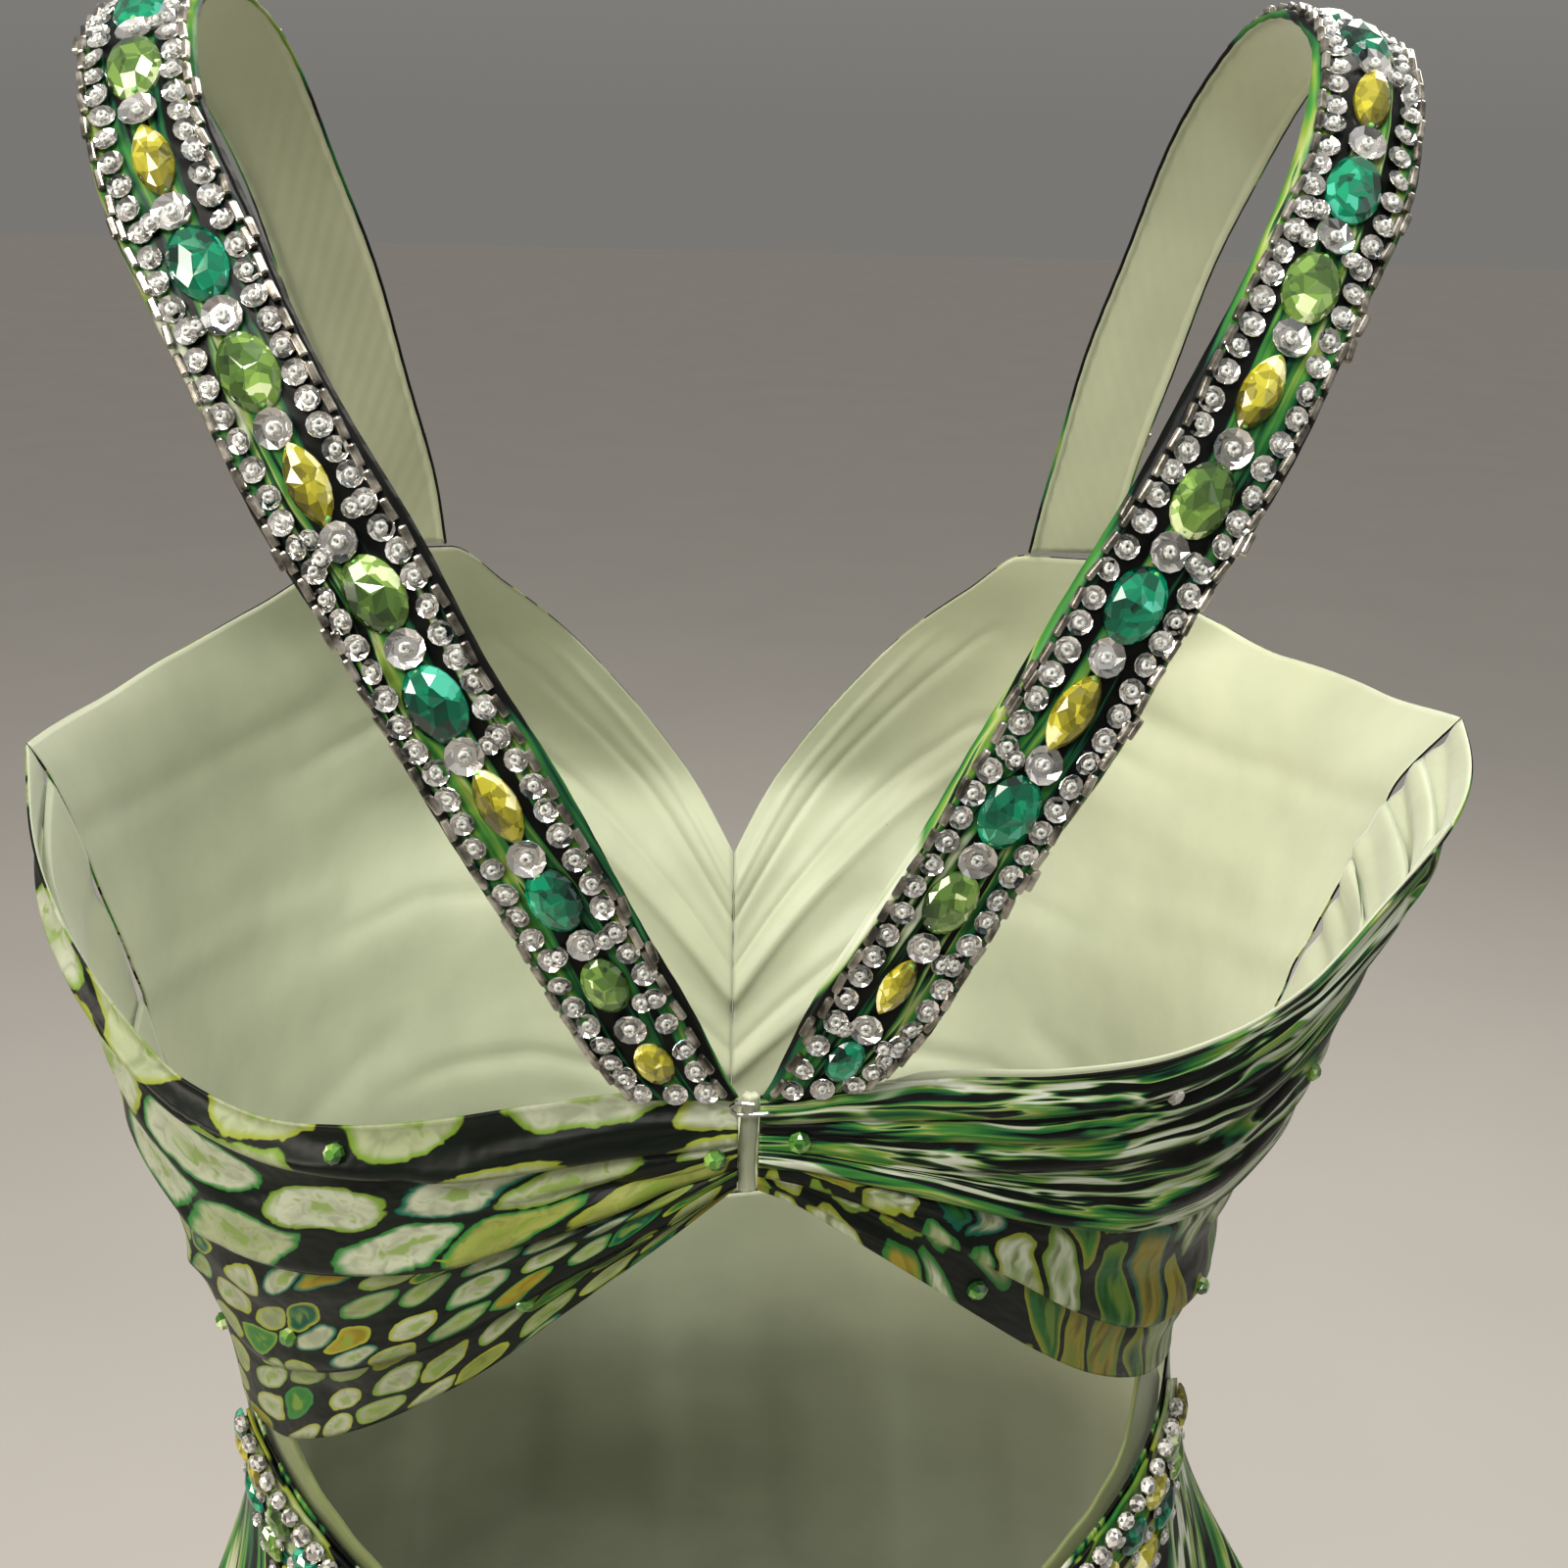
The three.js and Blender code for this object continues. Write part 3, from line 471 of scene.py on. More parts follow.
# Each row: turn, drop of the top edge, drop of the lower edge.
BAND_EDGES = {
    "left": ((0, 185.5, 204), (0.05, 185, 214), (0.1, 184.7, 223.5), (0.2, 188.5, 241), (0.3, 194, 258.5),
             (0.4, 198.7, 272.5), (0.5, 201.4, 285), (0.6, 199, 295.5), (0.7, 188, 303), (0.85, 168, 306),
             (1, 152, 307)),
    "right": ((0, 185, 205.5), (0.05, 184, 210), (0.1, 182.5, 217), (0.2, 182, 231), (0.3, 183.6, 245),
              (0.4, 184.2, 258.5), (0.5, 182, 270.5), (0.6, 176, 280), (0.7, 160, 287.5), (0.85, 149, 294),
              (1, 142, 297)),
}
BAND_CENTRE_TURN = {"left": 0.0095, "right": 0.011}
BAND_FLAT_HEIGHT = {"left": 118.0, "right": 122.0}
# Each row: the lap's share of the height at the clasp and at the side, and how far it stands out.
BAND_LAPS = {
    "left": ((0.22, 0.26, 1.5), (0.46, 0.6, 2.8), (0.76, 0.95, 3.2)),
    "right": ((0.38, 0.2, 3.1), (0.52, 0.53, 3.1), (0.63, 0.78, 2.1), (0.76, 0.87, 1.8), (0.88, 0.94, 1.5)),
}
# Each row: share at the clasp, share at the far end, first turn, last turn, width in mm, height in mm.
BAND_CREASES = {
    "left": (
        (0.1, 0.2, 0, 0.24, 1.4, 1.5), (0.3, 0.42, 0, 0.3, 1.6, 1.7), (0.38, 0.62, 0, 0.2, 1.2, -1.5),
        (0.58, 0.7, 0, 0.34, 1.5, 1.4), (0.66, 0.82, 0, 0.26, 1.2, -1.2), (0.86, 0.86, 0, 0.3, 1.3, 1.4),
        (0.5, 0.44, 0.25, 0.8, 5, 1.4), (0.3, 0.16, 0.3, 0.9, 6, 1.2), (0.7, 0.78, 0.45, 1, 5, 1.5),
        (0.12, 0.34, 0.5, 1, 7, -1.5), (0.6, 0.36, 0.62, 1, 4.5, 1.7), (0.86, 0.7, 0.3, 0.75, 4, -1.2),
        (0.4, 0.1, 0.74, 1, 3.6, 1.5),
    ),
    "right": (
        (0.14, 0.1, 0, 0.22, 1.4, 1.5), (0.26, 0.24, 0, 0.34, 1.5, 1.5), (0.34, 0.36, 0, 0.2, 1.1, -1.4),
        (0.45, 0.4, 0, 0.28, 1.3, 1.5), (0.57, 0.6, 0, 0.3, 1.1, 1.2), (0.7, 0.7, 0, 0.3, 1.2, 1.4),
        (0.82, 0.84, 0, 0.36, 1.2, -1.2), (0.93, 0.92, 0, 0.3, 1.2, 1.0), (0.56, 0.66, 0.4, 1, 3, 1.9),
        (0.66, 0.72, 0.45, 1, 2.6, 1.9), (0.72, 0.8, 0.5, 1, 2.4, -1.5), (0.8, 0.9, 0.52, 1, 2.4, 1.7),
        (0.46, 0.44, 0.5, 1, 4, 1.4), (0.3, 0.3, 0.4, 1, 5, -1.4), (0.14, 0.1, 0.55, 1, 5, 1.4),
        (0.9, 0.97, 0.55, 1, 2, 1.4),
    ),
}
# A lap hides this much cloth, so the print breaks at its edge, and each strip between laps has its own zone.
LAP_HIDES = 22.0
BAND_ZONES = {
    "left": ((0, 1, 2, 3), (0.9, 0.9, -0.05, -0.05)),
    "right": ((0, 1, 2, 3), (-1.0, -1.0, 2.9, 3.0)),
}
# Each row of a lap's rolled lip: slip downwards in mm, share of the lap's depth, share of the hidden cloth.
LAP_LIP = ((0.0, -0.12, 0.0), (1.5, 0.25, 0.4), (2.7, 0.7, 0.82), (2.6, 1.1, 0.88), (1.2, 1.28, 0.945))


def band_stations(laps):
    """Rows up a band: shares at clasp and side, a slip down, a lift, and the cloth hidden so far, in mm."""
    stations = []
    below = (0.0, 0.0, 0.3)
    for passed, lap in enumerate((*laps, (1.0, 1.0, 0.0))):
        near, far, depth = lap
        hidden = passed * LAP_HIDES
        fill = max(8, round(70 * ((near - below[0]) + (far - below[1])) / 2))
        for step in range(fill):
            share = step / fill
            lift = mix(below[2], 0.0, 1 - (1 - share) ** 1.8)
            stations.append((mix(below[0], near, share), mix(below[1], far, share), 0.0, lift, hidden))
        if depth:
            for slip, rise, share in LAP_LIP:
                stations.append((near, far, slip, rise * depth, hidden + share * LAP_HIDES))
        else:
            stations.append((near, far, 0.0, 0.25, hidden))
        below = (near, far, depth + 0.55)
    return np.array(stations)


def crease_lift(creases, share, turn, height):
    """Soft ridges and troughs, each fading out at its two ends."""
    lift = np.zeros_like(share)
    for near, far, first, last, width, rise in creases:
        along = np.clip((turn - first) / (last - first), 0, 1)
        away = (share - mix(near, far, along)) * height / width
        fade = ease(0, 0.12, along) if first > 0 else 1.0
        fade = fade * (1 - ease(0.6, 1.0, along) if last < 1 else 1.0)
        lift += rise * fade * np.exp(-away * away) * (turn >= first) * (turn <= last)
    return lift


def back_band(name, side):
    edges, stations = BAND_EDGES[name], band_stations(BAND_LAPS[name])
    rows = len(stations) - 1
    start = BAND_CENTRE_TURN[name]
    flat_height = BAND_FLAT_HEIGHT[name]

    def lines(across, up):
        turn = mix(start, 0.999, across ** 1.1)
        station = np.rint(up * rows).astype(int)
        near, far, slip, lift, hidden = stations[station].T
        share = mix(near, far, ease(0, 0.6, turn))
        return turn, share, slip, lift, hidden

    def place(across, up):
        turn, share, slip, lift, _ = lines(across, up)
        top, low = (smooth_read(edges, column, turn) for column in (1, 2))
        calm = 1 - 0.6 * ease(0.8, 1, turn)
        small = crease_lift(BAND_CREASES[name], share, turn, low - top)
        at_edge = np.minimum(ease(0, 0.03, share), 1 - ease(0.97, 1, share))
        drop = mix(low, top, share) + slip
        lift = lift * calm + small * mix(0.3, 1.0, at_edge)
        return on_form(side, turn, drop, lift), way_out(side, turn, drop)

    def print_at(across, up):
        turn, share, _, _, hidden = lines(across, up)
        top, low = (smooth_read(edges, column, turn) for column in (1, 2))
        along = turn * girth_at(side, True, mix(low, top, share))
        # The cloth was straight before it was drawn in, so a row of the print stays on its own pleat.
        far = stations[np.rint(up * rows).astype(int), 1]
        across_print = along + (0 if side > 0 else 400)
        pattern = np.stack((across_print, mix(share, far, 0.8) * flat_height + hidden), axis=-1)
        zone = np.interp(hidden / LAP_HIDES, *BAND_ZONES[name])
        return pattern, zone + (1.1 * ease(0.8, 1.0, turn) if side > 0 else 0)

    return cloth_panel(f"back_band_satin_{name}", 190, rows, place, print_at, SATIN_WALL,
                       (PRINTED_SATIN, PALE_LINING))


back_bands = {}
for name, side in SIDES:
    back_bands[name] = back_band(name, side)
    finished(back_bands[name], "printed_satin", f"back_band_{name}")


def lining_edge():
    """The right band's lining rolls up past its top edge by a millimetre or so and shows as a pale line."""
    edges = BAND_EDGES["right"]

    def lines(across, up):
        turn = mix(0.13, 0.8, across)
        show = mix(1.6, 0.5, across) * ease(0, 0.06, across) * (1 - ease(0.8, 1, across))
        return turn, smooth_read(edges, 1, turn) + 5 - up * (5 + show)

    def place(across, up):
        turn, drop = lines(across, up)
        return on_form(-1, turn, drop, -0.75 + 0.3 * up), way_out(-1, turn, drop)

    def print_at(across, up):
        return np.stack((across * 130, up * 6), axis=-1), np.zeros_like(across)

    return cloth_panel("back_band_lining_edge_right", 80, 6, place, print_at, 0.5, (PALE_LINING,))


band_lining_edge = lining_edge()
finished(band_lining_edge, "green_tab")

# ---- Clasp at the centre back ----
# A narrow tab of pale satin covers the joined ends, and a bright wire hook at its top holds them together.
CLASP_CENTRE, TAB_WIDTH, TAB_LENGTH = -0.15, 3.3, 22


def clasp_tab():
    def place(across, up):
        sideways = (across - 0.5) * TAB_WIDTH
        drop = mix(206.5, 184.2, up)
        inside = 1 - np.abs(across - 0.5) * 2
        crown = 0.6 * inside ** 0.7 + 0.25 * np.sin(up * 9.0) * inside
        points = on_form(1, np.zeros_like(across), drop, 0.4 + crown)
        points[:, 0] = CLASP_CENTRE + sideways + 0.25 * np.sin(up * 5.0)
        return points, np.tile((0.0, 1.0, 0.0), (len(across), 1))

    def print_at(across, up):
        return np.stack((across * TAB_WIDTH, up * TAB_LENGTH), axis=-1), np.zeros_like(across)

    return cloth_panel("clasp_tab", 10, 36, place, print_at, 1.6, (PALE_LINING,))


tab = clasp_tab()
finished(tab, "green_tab", "closure_tab")

steel, steel_tree, steel_shader = new_material(
    "nickel_plated_hook_wire", "#a9a9a2", metallic=1.0, roughness=0.22)
# Drawn wire keeps faint lines along it, 0.3 mm apart.
drawn = add_node(steel_tree, "TexNoise", {
    "Vector": add_node(steel_tree, "TexCoord").outputs["Object"], "Scale": 3000.0, "Detail": 2.0,
}).outputs[0]
steel_tree.links.new(
    add_node(steel_tree, "MapRange", {0: drawn, 3: 0.15, 4: 0.32}).outputs[0],
    steel_shader.inputs["Roughness"],
)
hook = bpy.data.objects["closure_hook"]
for hook_slot in hook.material_slots:
    hook_slot.material = steel

# ---- Shoulder straps ----
# A strip of the printed satin, doubled and pressed flat, runs from each band over the shoulder to the front.
# Its neck edge is left bare for two millimetres beside the beadwork.
STRAP_ROUTE = (
    (12, 96.6, -184.3), (16.8, 97.4, -176.5), (25.4, 98.5, -160.2), (33.8, 98.9, -144), (43, 98.7, -127),
    (53, 96.6, -110.2), (63, 92.2, -92.6), (74.3, 86.8, -75), (84.6, 79.5, -57.4), (94.4, 69.6, -40.2),
    (103.2, 58, -24.4), (108.6, 42, -9.5), (111, 22, -1.6), (111, 2, 0), (109.6, -18, -4), (106.8, -37, -17),
    (102.6, -51, -36), (98, -61.5, -58), (93.5, -71, -82), (90.4, -79.5, -104), (88.5, -89.2, -125.7),
)
STRAP_HALF, STRAP_FOOT_HALF, STRAP_WALL = 10.75, 9.6, 1.8
STRAP_INNER, STRAP_OUTER, STRAP_RIM_SPAN = 11.2, 10.9, 21.8
FOOT_CLIMB = {"left": 0.0, "right": 0.13}


def unit(vectors):
    return vectors / np.linalg.norm(vectors, axis=-1, keepdims=True)


def strap_line():
    """Points of the strap's middle line every half millimetre, and its direction and facing there."""
    route = np.array(STRAP_ROUTE, float)
    route = np.vstack((2 * route[0] - route[1], route, 2 * route[-1] - route[-2]))
    samples = []
    for corner in range(1, len(route) - 2):
        a, b, c, d = route[corner - 1:corner + 3]
        first, second, third = (np.linalg.norm(end - start) ** 0.5 for start, end in ((a, b), (b, c), (c, d)))
        leave = ((b - a) / first - (c - a) / (first + second) + (c - b) / second) * second
        arrive = ((c - b) / second - (d - b) / (second + third) + (d - c) / third) * second
        share = np.linspace(0, 1, 100, endpoint=False)[:, None]
        samples.append(
            b + leave * share + (-3 * b + 3 * c - 2 * leave - arrive) * share ** 2
            + (2 * b - 2 * c + leave + arrive) * share ** 3
        )
    line = np.vstack((*samples, route[-2:-1]))
    walked = np.concatenate(([0], np.cumsum(np.linalg.norm(np.diff(line, axis=0), axis=1))))
    length = walked[-1]
    even = np.arange(0, length, 0.5)
    line = np.stack([np.interp(even, walked, line[:, axis]) for axis in range(3)], axis=-1)
    ways = unit(np.gradient(line, axis=0))
    points, outward, _ = HALF_FORMS[1]
    facings = []
    for point in line:
        row = int(round((-point[2] - FIRST_DROP) / DROP_STEP))
        turns = slice(0, QUARTER_STEPS + 1) if point[1] > 0 else slice(QUARTER_STEPS, None)
        nearest = np.argmin(np.abs(points[row, turns, 0] - point[0]))
        flat = outward[max(row, 12), turns][nearest]
        crest = unit(np.array((0.3, point[1] / 45, 0.95)))
        facings.append(mix(crest, flat, ease(8, 55, -point[2])))
    facings = np.array(facings)
    smooth = np.ones(21) / 21
    padded = np.vstack((np.repeat(facings[:1], 10, axis=0), facings, np.repeat(facings[-1:], 10, axis=0)))
    facings = np.stack([np.convolve(padded[:, axis], smooth, "valid") for axis in range(3)], axis=-1)
    return length, line, ways, unit(facings)


STRAP_LENGTH, STRAP_LINE, STRAP_WAYS, STRAP_FACINGS = strap_line()


def on_strap(name, along, across, lift):
    """Places in mm on a strap: along from its foot, across towards the armhole, out from its underside."""
    along, across, lift = np.broadcast_arrays(np.asarray(along, float), across, lift)
    steps = np.arange(len(STRAP_LINE)) * 0.5
    point, way, facing = (
        np.stack([np.interp(along, steps, field[:, axis]) for axis in range(3)], axis=-1)
        for field in (STRAP_LINE, STRAP_WAYS, STRAP_FACINGS)
    )
    square = unit(np.cross(facing, way))
    near_foot = (1 - ease(0, 24, along))[..., None]
    near_front = (1 - ease(0, 24, STRAP_LENGTH - along))[..., None]
    level = np.concatenate((
        np.ones_like(near_foot), np.zeros_like(near_foot), FOOT_CLIMB[name] * near_foot), axis=-1)
    sideways = unit(mix(square, level, np.maximum(near_foot, near_front)))
    narrow = mix(1.0, STRAP_FOOT_HALF / STRAP_HALF, near_foot)
    place = point + sideways * across[..., None] * narrow + facing * lift[..., None]
    place[..., 2] += STRAP_FOOT_HALF * FOOT_CLIMB[name] * near_foot[..., 0]
    side = 1 if name == "left" else -1
    mirrored = np.array((side, 1, 1))
    return place * mirrored, unit(way) * mirrored, sideways * mirrored, unit(facing) * mirrored


def strap_cloth(name, side):
    def at(across, up):
        return across * (STRAP_LENGTH - 0.2), mix(-STRAP_INNER, STRAP_OUTER, up)

    def place(across, up):
        along, sideways = at(across, up)
        rim = np.minimum(up, 1 - up) * STRAP_RIM_SPAN
        lift = STRAP_WALL * np.sqrt(np.clip(rim / 1.2, 0.12, 1)) + 0.12 * np.sin(along * 0.9 + 3 * sideways)
        wave = 0.35 * np.sin(along * 0.11 + side) * np.sign(sideways) * (np.abs(sideways) > 9)
        points, _, _, facing = on_strap(name, along, sideways + wave, lift)
        return points, facing

    def print_at(across, up):
        along, sideways = at(across, up)
        return np.stack((along * 0.6 + 700 * (side < 0), sideways + 60), axis=-1), np.full_like(along, 3.8)

    return cloth_panel(f"strap_satin_{name}", 240, 16, place, print_at, 1.0, (PRINTED_SATIN, PALE_LINING))


strap_cloths = {}
for name, side in SIDES:
    strap_cloths[name] = strap_cloth(name, side)
    finished(strap_cloths[name], "printed_satin", f"strap_{name}")

# ---- Sewn stones ----
# Moulded acrylic stones in three colours, foiled behind and cut like a rose: a point in the middle and flat
# facets round it. A thread of pale green passes through a hole at each end.
OVAL = (14.0, 10.0, 3.2)
NAVETTE = (15.0, 7.0, 2.8)
# Each row: corners, radius and height as shares, and turn in degrees.
STONE_RINGS = ((24, 0.5, 0.24, 0), (12, 0.42, 0.58, 15), (6, 0.26, 0.86, 0), (3, 0.02, 1, 0))


def faceted_stone(name, long, wide, high, pointed):
    """A rose-cut stone from rings of corners, closed by their hull. It is long along X, its back at z 0."""
    bpy.ops.object.select_all(action="DESELECT")
    bpy.ops.mesh.primitive_circle_add(vertices=24, radius=0.5)
    stone = bpy.context.object
    stone.name = stone.data.name = name
    bpy.ops.object.mode_set(mode="EDIT")
    for count, radius, height, turned in STONE_RINGS:
        bpy.ops.mesh.primitive_circle_add(vertices=count, radius=radius, location=(0, 0, height),
                                          rotation=(0, 0, math.radians(turned)))
    bpy.ops.object.mode_set(mode="OBJECT")
    for vertex in stone.data.vertices:
        x, y, z = vertex.co
        narrow = (1 - min((2 * x) ** 2, 1)) ** 0.28 if pointed else 1.0
        vertex.co = (x * long, y * wide * narrow, z * high)
    bpy.ops.object.mode_set(mode="EDIT")
    bpy.ops.mesh.select_all(action="SELECT")
    bpy.ops.mesh.convex_hull()
    bpy.ops.mesh.normals_make_consistent(inside=False)
    bpy.ops.object.mode_set(mode="OBJECT")
    return stone


def strewn(name, model, places, material, slot, shading=0.42, sparkle=0.16, smooth=False):
    """One mesh of many copies of a model, each at its own 4x4 place in mm, with a painted shade for every
    face.
    """
    mesh = model.data
    corners = np.empty(len(mesh.vertices) * 3)
    mesh.vertices.foreach_get("co", corners)
    corners = np.hstack((corners.reshape(-1, 3), np.ones((len(mesh.vertices), 1))))
    faces = [list(polygon.vertices) for polygon in mesh.polygons]
    places = np.array(places)
    points = np.einsum("nij,vj->nvi", places, corners)[..., :3].reshape(-1, 3) / 1000
    every = [
        [corner + copy * len(corners) for corner in face] for copy in range(len(places)) for face in faces]
    joined = bpy.data.meshes.new(name)
    joined.from_pydata(points.tolist(), [], every)
    normals = np.array([polygon.normal for polygon in mesh.polygons])
    seeds = np.random.default_rng(len(name) * 101 + len(places))
    # Painted shade: faces turned to a made-up light direction are paler; sparkle adds random painted glints.
    light = seeds.uniform(0, 2 * math.pi, len(places))
    lit = normals[:, 0] * np.cos(light)[:, None] + normals[:, 1] * np.sin(light)[:, None]
    lit /= max(np.abs(normals[:, :2]).max(), 0.2)
    painted_shade_and_tone = 0.5 + shading * lit + seeds.uniform(-sparkle, sparkle, lit.shape)
    joined.attributes.new("painted_shade_and_tone", "FLOAT", "FACE").data.foreach_set("value", np.clip(painted_shade_and_tone, 0, 1).ravel())
    joined.materials.append(material)
    piece = bpy.data.objects.new(name, joined)
    bpy.context.scene.collection.objects.link(piece)
    if smooth:
        joined.polygons.foreach_set("use_smooth", [True] * len(joined.polygons))
    finished(piece, slot)
    return piece


def placement(point, long_way, wide_way, out_way):
    matrix = np.eye(4)
    matrix[:3, 0], matrix[:3, 1], matrix[:3, 2], matrix[:3, 3] = long_way, wide_way, out_way, point
    return matrix


def set_on(spot, turned=0.0, tilt=(0.0, 0.0), size=(1.0, 1.0, 1.0)):
    """A copy's place from a spot (point, way, sideways, facing), turned on the cloth and tilted a little."""
    point, way, sideways, facing = (np.asarray(part, float) for part in spot)
    out = unit(facing + tilt[0] * way + tilt[1] * sideways)
    along = unit(way * math.cos(turned) + sideways * math.sin(turned))
    along = unit(along - out * np.dot(along, out))
    across = np.cross(out, along)
    return placement(point, along * size[0], across * size[1], out * size[2])


def foiled_acrylic(name, deep, middle, bright, glint, painted_reflection_share=0.36, places=(0.36, 0.7, 0.97, 1.0)):
    """Clear acrylic over foil under a hard clear gloss: painted facet shades from deep to bright and a
    painted glint.
    """
    material, tree, shader = new_material(
        name, middle, metallic=0.15, roughness=0.1, coat_weight=0.7, coat_roughness=0.02, ior=1.49)
    painted_shade_and_tone = add_node(tree, "Attribute", attribute_name="painted_shade_and_tone").outputs["Fac"]
    # Painted reflections of the foiled back's own facets: sharp patches 3 mm across that lift the painted
    # shade.
    behind = add_node(tree, "TexVoronoi", {
        "Vector": add_node(tree, "TexCoord").outputs["Object"], "Scale": 330.0,
    }, distance="CHEBYCHEV").outputs["Color"]
    painted_reflection = add_node(tree, "SeparateColor", {0: behind}).outputs[0]
    value = add_node(tree, "Math", {0: painted_reflection, 1: painted_reflection_share, 2: painted_shade_and_tone}, operation="MULTIPLY_ADD").outputs[0]
    stops = tuple(zip(places, (deep, middle, bright, glint)))
    ramp = add_node(tree, "ValToRGB", {0: value}, stops=stops)
    tree.links.new(ramp.outputs[0], shader.inputs["Base Color"])
    return material


# Each stone's four colours run from its painted shade, deep, to its painted glint.
EMERALD = foiled_acrylic("foiled_acrylic_emerald", "#001f17", "#006245", "#009568", "#49b899")
PERIDOT = foiled_acrylic("foiled_acrylic_peridot", "#1f3314", "#50702f", "#86a94b", "#d8e8ac")
CITRINE = foiled_acrylic("foiled_acrylic_citrine", "#454210", "#857f1f", "#c4bb36", "#f2ebaa")
STONE_KINDS = {
    "e": ("emerald", EMERALD, "acrylic_emerald"),
    "p": ("peridot", PERIDOT, "acrylic_peridot"),
    "c": ("citrine", CITRINE, "acrylic_citrine"),
}
# Stones from the clasp over the shoulder. A capital is a navette.
STRAP_STONES = {"left": "cpeCepCpeCpeCpeCep", "right": "eCpeCepCpeCeeCpeCp"}
FIRST_STONE, FOOT_PITCH, STONE_PITCH = 9.5, 18.2, 20.6
FOOT_STONE_SIZES = (0.66, 0.8, 0.9)

oval_stone = faceted_stone("oval_stone", *OVAL, False)
navette_stone = faceted_stone("navette_stone", *NAVETTE, True)


def strap_stones(name):
    """Each stone's place along the strap, its length, width and height, its letter and its size."""
    stones = []
    along = FIRST_STONE
    for place, letter in enumerate(STRAP_STONES[name]):
        size = FOOT_STONE_SIZES[place] if place < len(FOOT_STONE_SIZES) else 1.0
        form = NAVETTE if letter.isupper() else OVAL
        if along + form[0] * size / 2 < STRAP_LENGTH - 3:
            stones.append((along, *(part * size for part in form), letter, size))
        along += mix(FOOT_PITCH, STONE_PITCH, float(ease(0, 5, place)))
    return stones


bpy.ops.object.select_all(action="DESELECT")
bpy.ops.mesh.primitive_uv_sphere_add(segments=8, ring_count=6, radius=0.55)
thread_knot = bpy.context.object
thread_green = new_material("polyester_thread_green", "#5fae4a", roughness=0.6, sheen_weight=0.4)[0]
thread_places = []
chance = np.random.default_rng(7)
for name, side in SIDES:
    by_kind = {}
    for along, long, wide, high, letter, size in strap_stones(name):
        spot = on_strap(name, along, 0.0, STRAP_WALL + 0.1)
        turned, tilt = chance.normal(0, 0.05), chance.normal(0, 0.02, 2)
        by_kind.setdefault(letter, []).append(set_on(spot, turned, tilt, (size, size, size)))
        for end in (-1, 1):
            thread_spot = on_strap(name, along + end * (long / 2 - 1.1), 0.0, STRAP_WALL + high * 0.42)
            thread_places.append(set_on(thread_spot, 0.0, (0.0, 0.0), (1.0, 1.0, 0.6)))
    for letter, places in sorted(by_kind.items()):
        kind, material, slot = STONE_KINDS[letter.lower()]
        model, form = (navette_stone, "navettes") if letter.isupper() else (oval_stone, "ovals")
        strewn(f"strap_{kind}_{form}_{name}", model, places, material, slot)

# ---- Cup sequins, seed beads and bugles on the straps ----
# Six-sided cups of metallised film, each held by one clear seed bead. A large one fills every gap between two
# stones, small ones run down both sides, and silver-lined bugles edge the strap end to end.
LARGE_SEQUIN, SMALL_SEQUIN = 6.9, 4.4
SEED_BEAD = 2.1
SMALL_PITCH = 4.75
BUGLE_LENGTH, BUGLE_WIDTH = 4.0, 1.75


def cup_sequin():
    """A cup one millimetre across: a flat hexagon, six facets that rise from it, and a rounded rim."""
    bpy.ops.object.select_all(action="DESELECT")
    bpy.ops.mesh.primitive_circle_add(vertices=6, radius=0.32, fill_type="NGON")
    cup = bpy.context.object
    bpy.ops.object.mode_set(mode="EDIT")
    bpy.ops.mesh.select_mode(type="EDGE")
    bpy.ops.mesh.select_all(action="SELECT")
    bpy.ops.mesh.extrude_edges_move(TRANSFORM_OT_translate={"value": (0, 0, 0.12)})
    bpy.ops.transform.resize(value=(0.5 / 0.32, 0.5 / 0.32, 1))
    bpy.ops.mesh.subdivide(number_cuts=1)
    bpy.ops.object.mode_set(mode="OBJECT")
    for vertex in cup.data.vertices:
        reach = vertex.co.xy.length
        if vertex.co.z > 0.1:
            vertex.co.x *= 0.5 / reach
            vertex.co.y *= 0.5 / reach
    solid = cup.modifiers.new("film", "SOLIDIFY")
    solid.thickness = 0.03
    solid.offset = -1
    bpy.ops.object.modifier_apply(modifier="film")
    return cup


def metallised_film():
    """Silver film with a faint rainbow, all painted: each facet's painted shade runs from dark grey to bright
    silver, then pink and blue.
    """
    material, tree, shader = new_material("metallised_film_sequin", "#b9b7b2", metallic=0.88, roughness=0.15)
    painted_shade_and_tone = add_node(tree, "Attribute", attribute_name="painted_shade_and_tone").outputs["Fac"]
    ramp = add_node(tree, "ValToRGB", {0: painted_shade_and_tone}, stops=(
        (0.05, "#1f3038"), (0.22, "#7c7e7b"), (0.42, "#c4c2bd"), (0.62, "#f6f5f1"), (0.86, "#d6cdca"),
        (0.96, "#8db6c2")))
    tree.links.new(ramp.outputs[0], shader.inputs["Base Color"])
    return material


SILVER_FILM = metallised_film()
CLEAR_BEAD, bead_tree, bead_shader = new_material(
    "clear_glass_seed_bead", "#d7d8d0", roughness=0.06, transmission_weight=0.35, ior=1.5, coat_weight=0.6)
# Noise half a millimetre across mottles the clear glass from grey to white.
glass_mottle = add_node(bead_tree, "TexNoise", {
    "Vector": add_node(bead_tree, "TexCoord").outputs["Object"], "Scale": 1800.0, "Detail": 1.0,
}).outputs[0]
bead_tree.links.new(
    add_node(bead_tree, "ValToRGB", {0: glass_mottle}, stops=(
        (0.35, "#8c8f84"), (0.55, "#dcddd6"), (0.75, "#ffffff"))).outputs[0],
    bead_shader.inputs["Base Color"],
)
SILVER_LINED, bugle_tree, bugle_shader = new_material(
    "silver_lined_glass_bugle", "#b0a898", metallic=0.8, roughness=0.24, coat_weight=0.7)
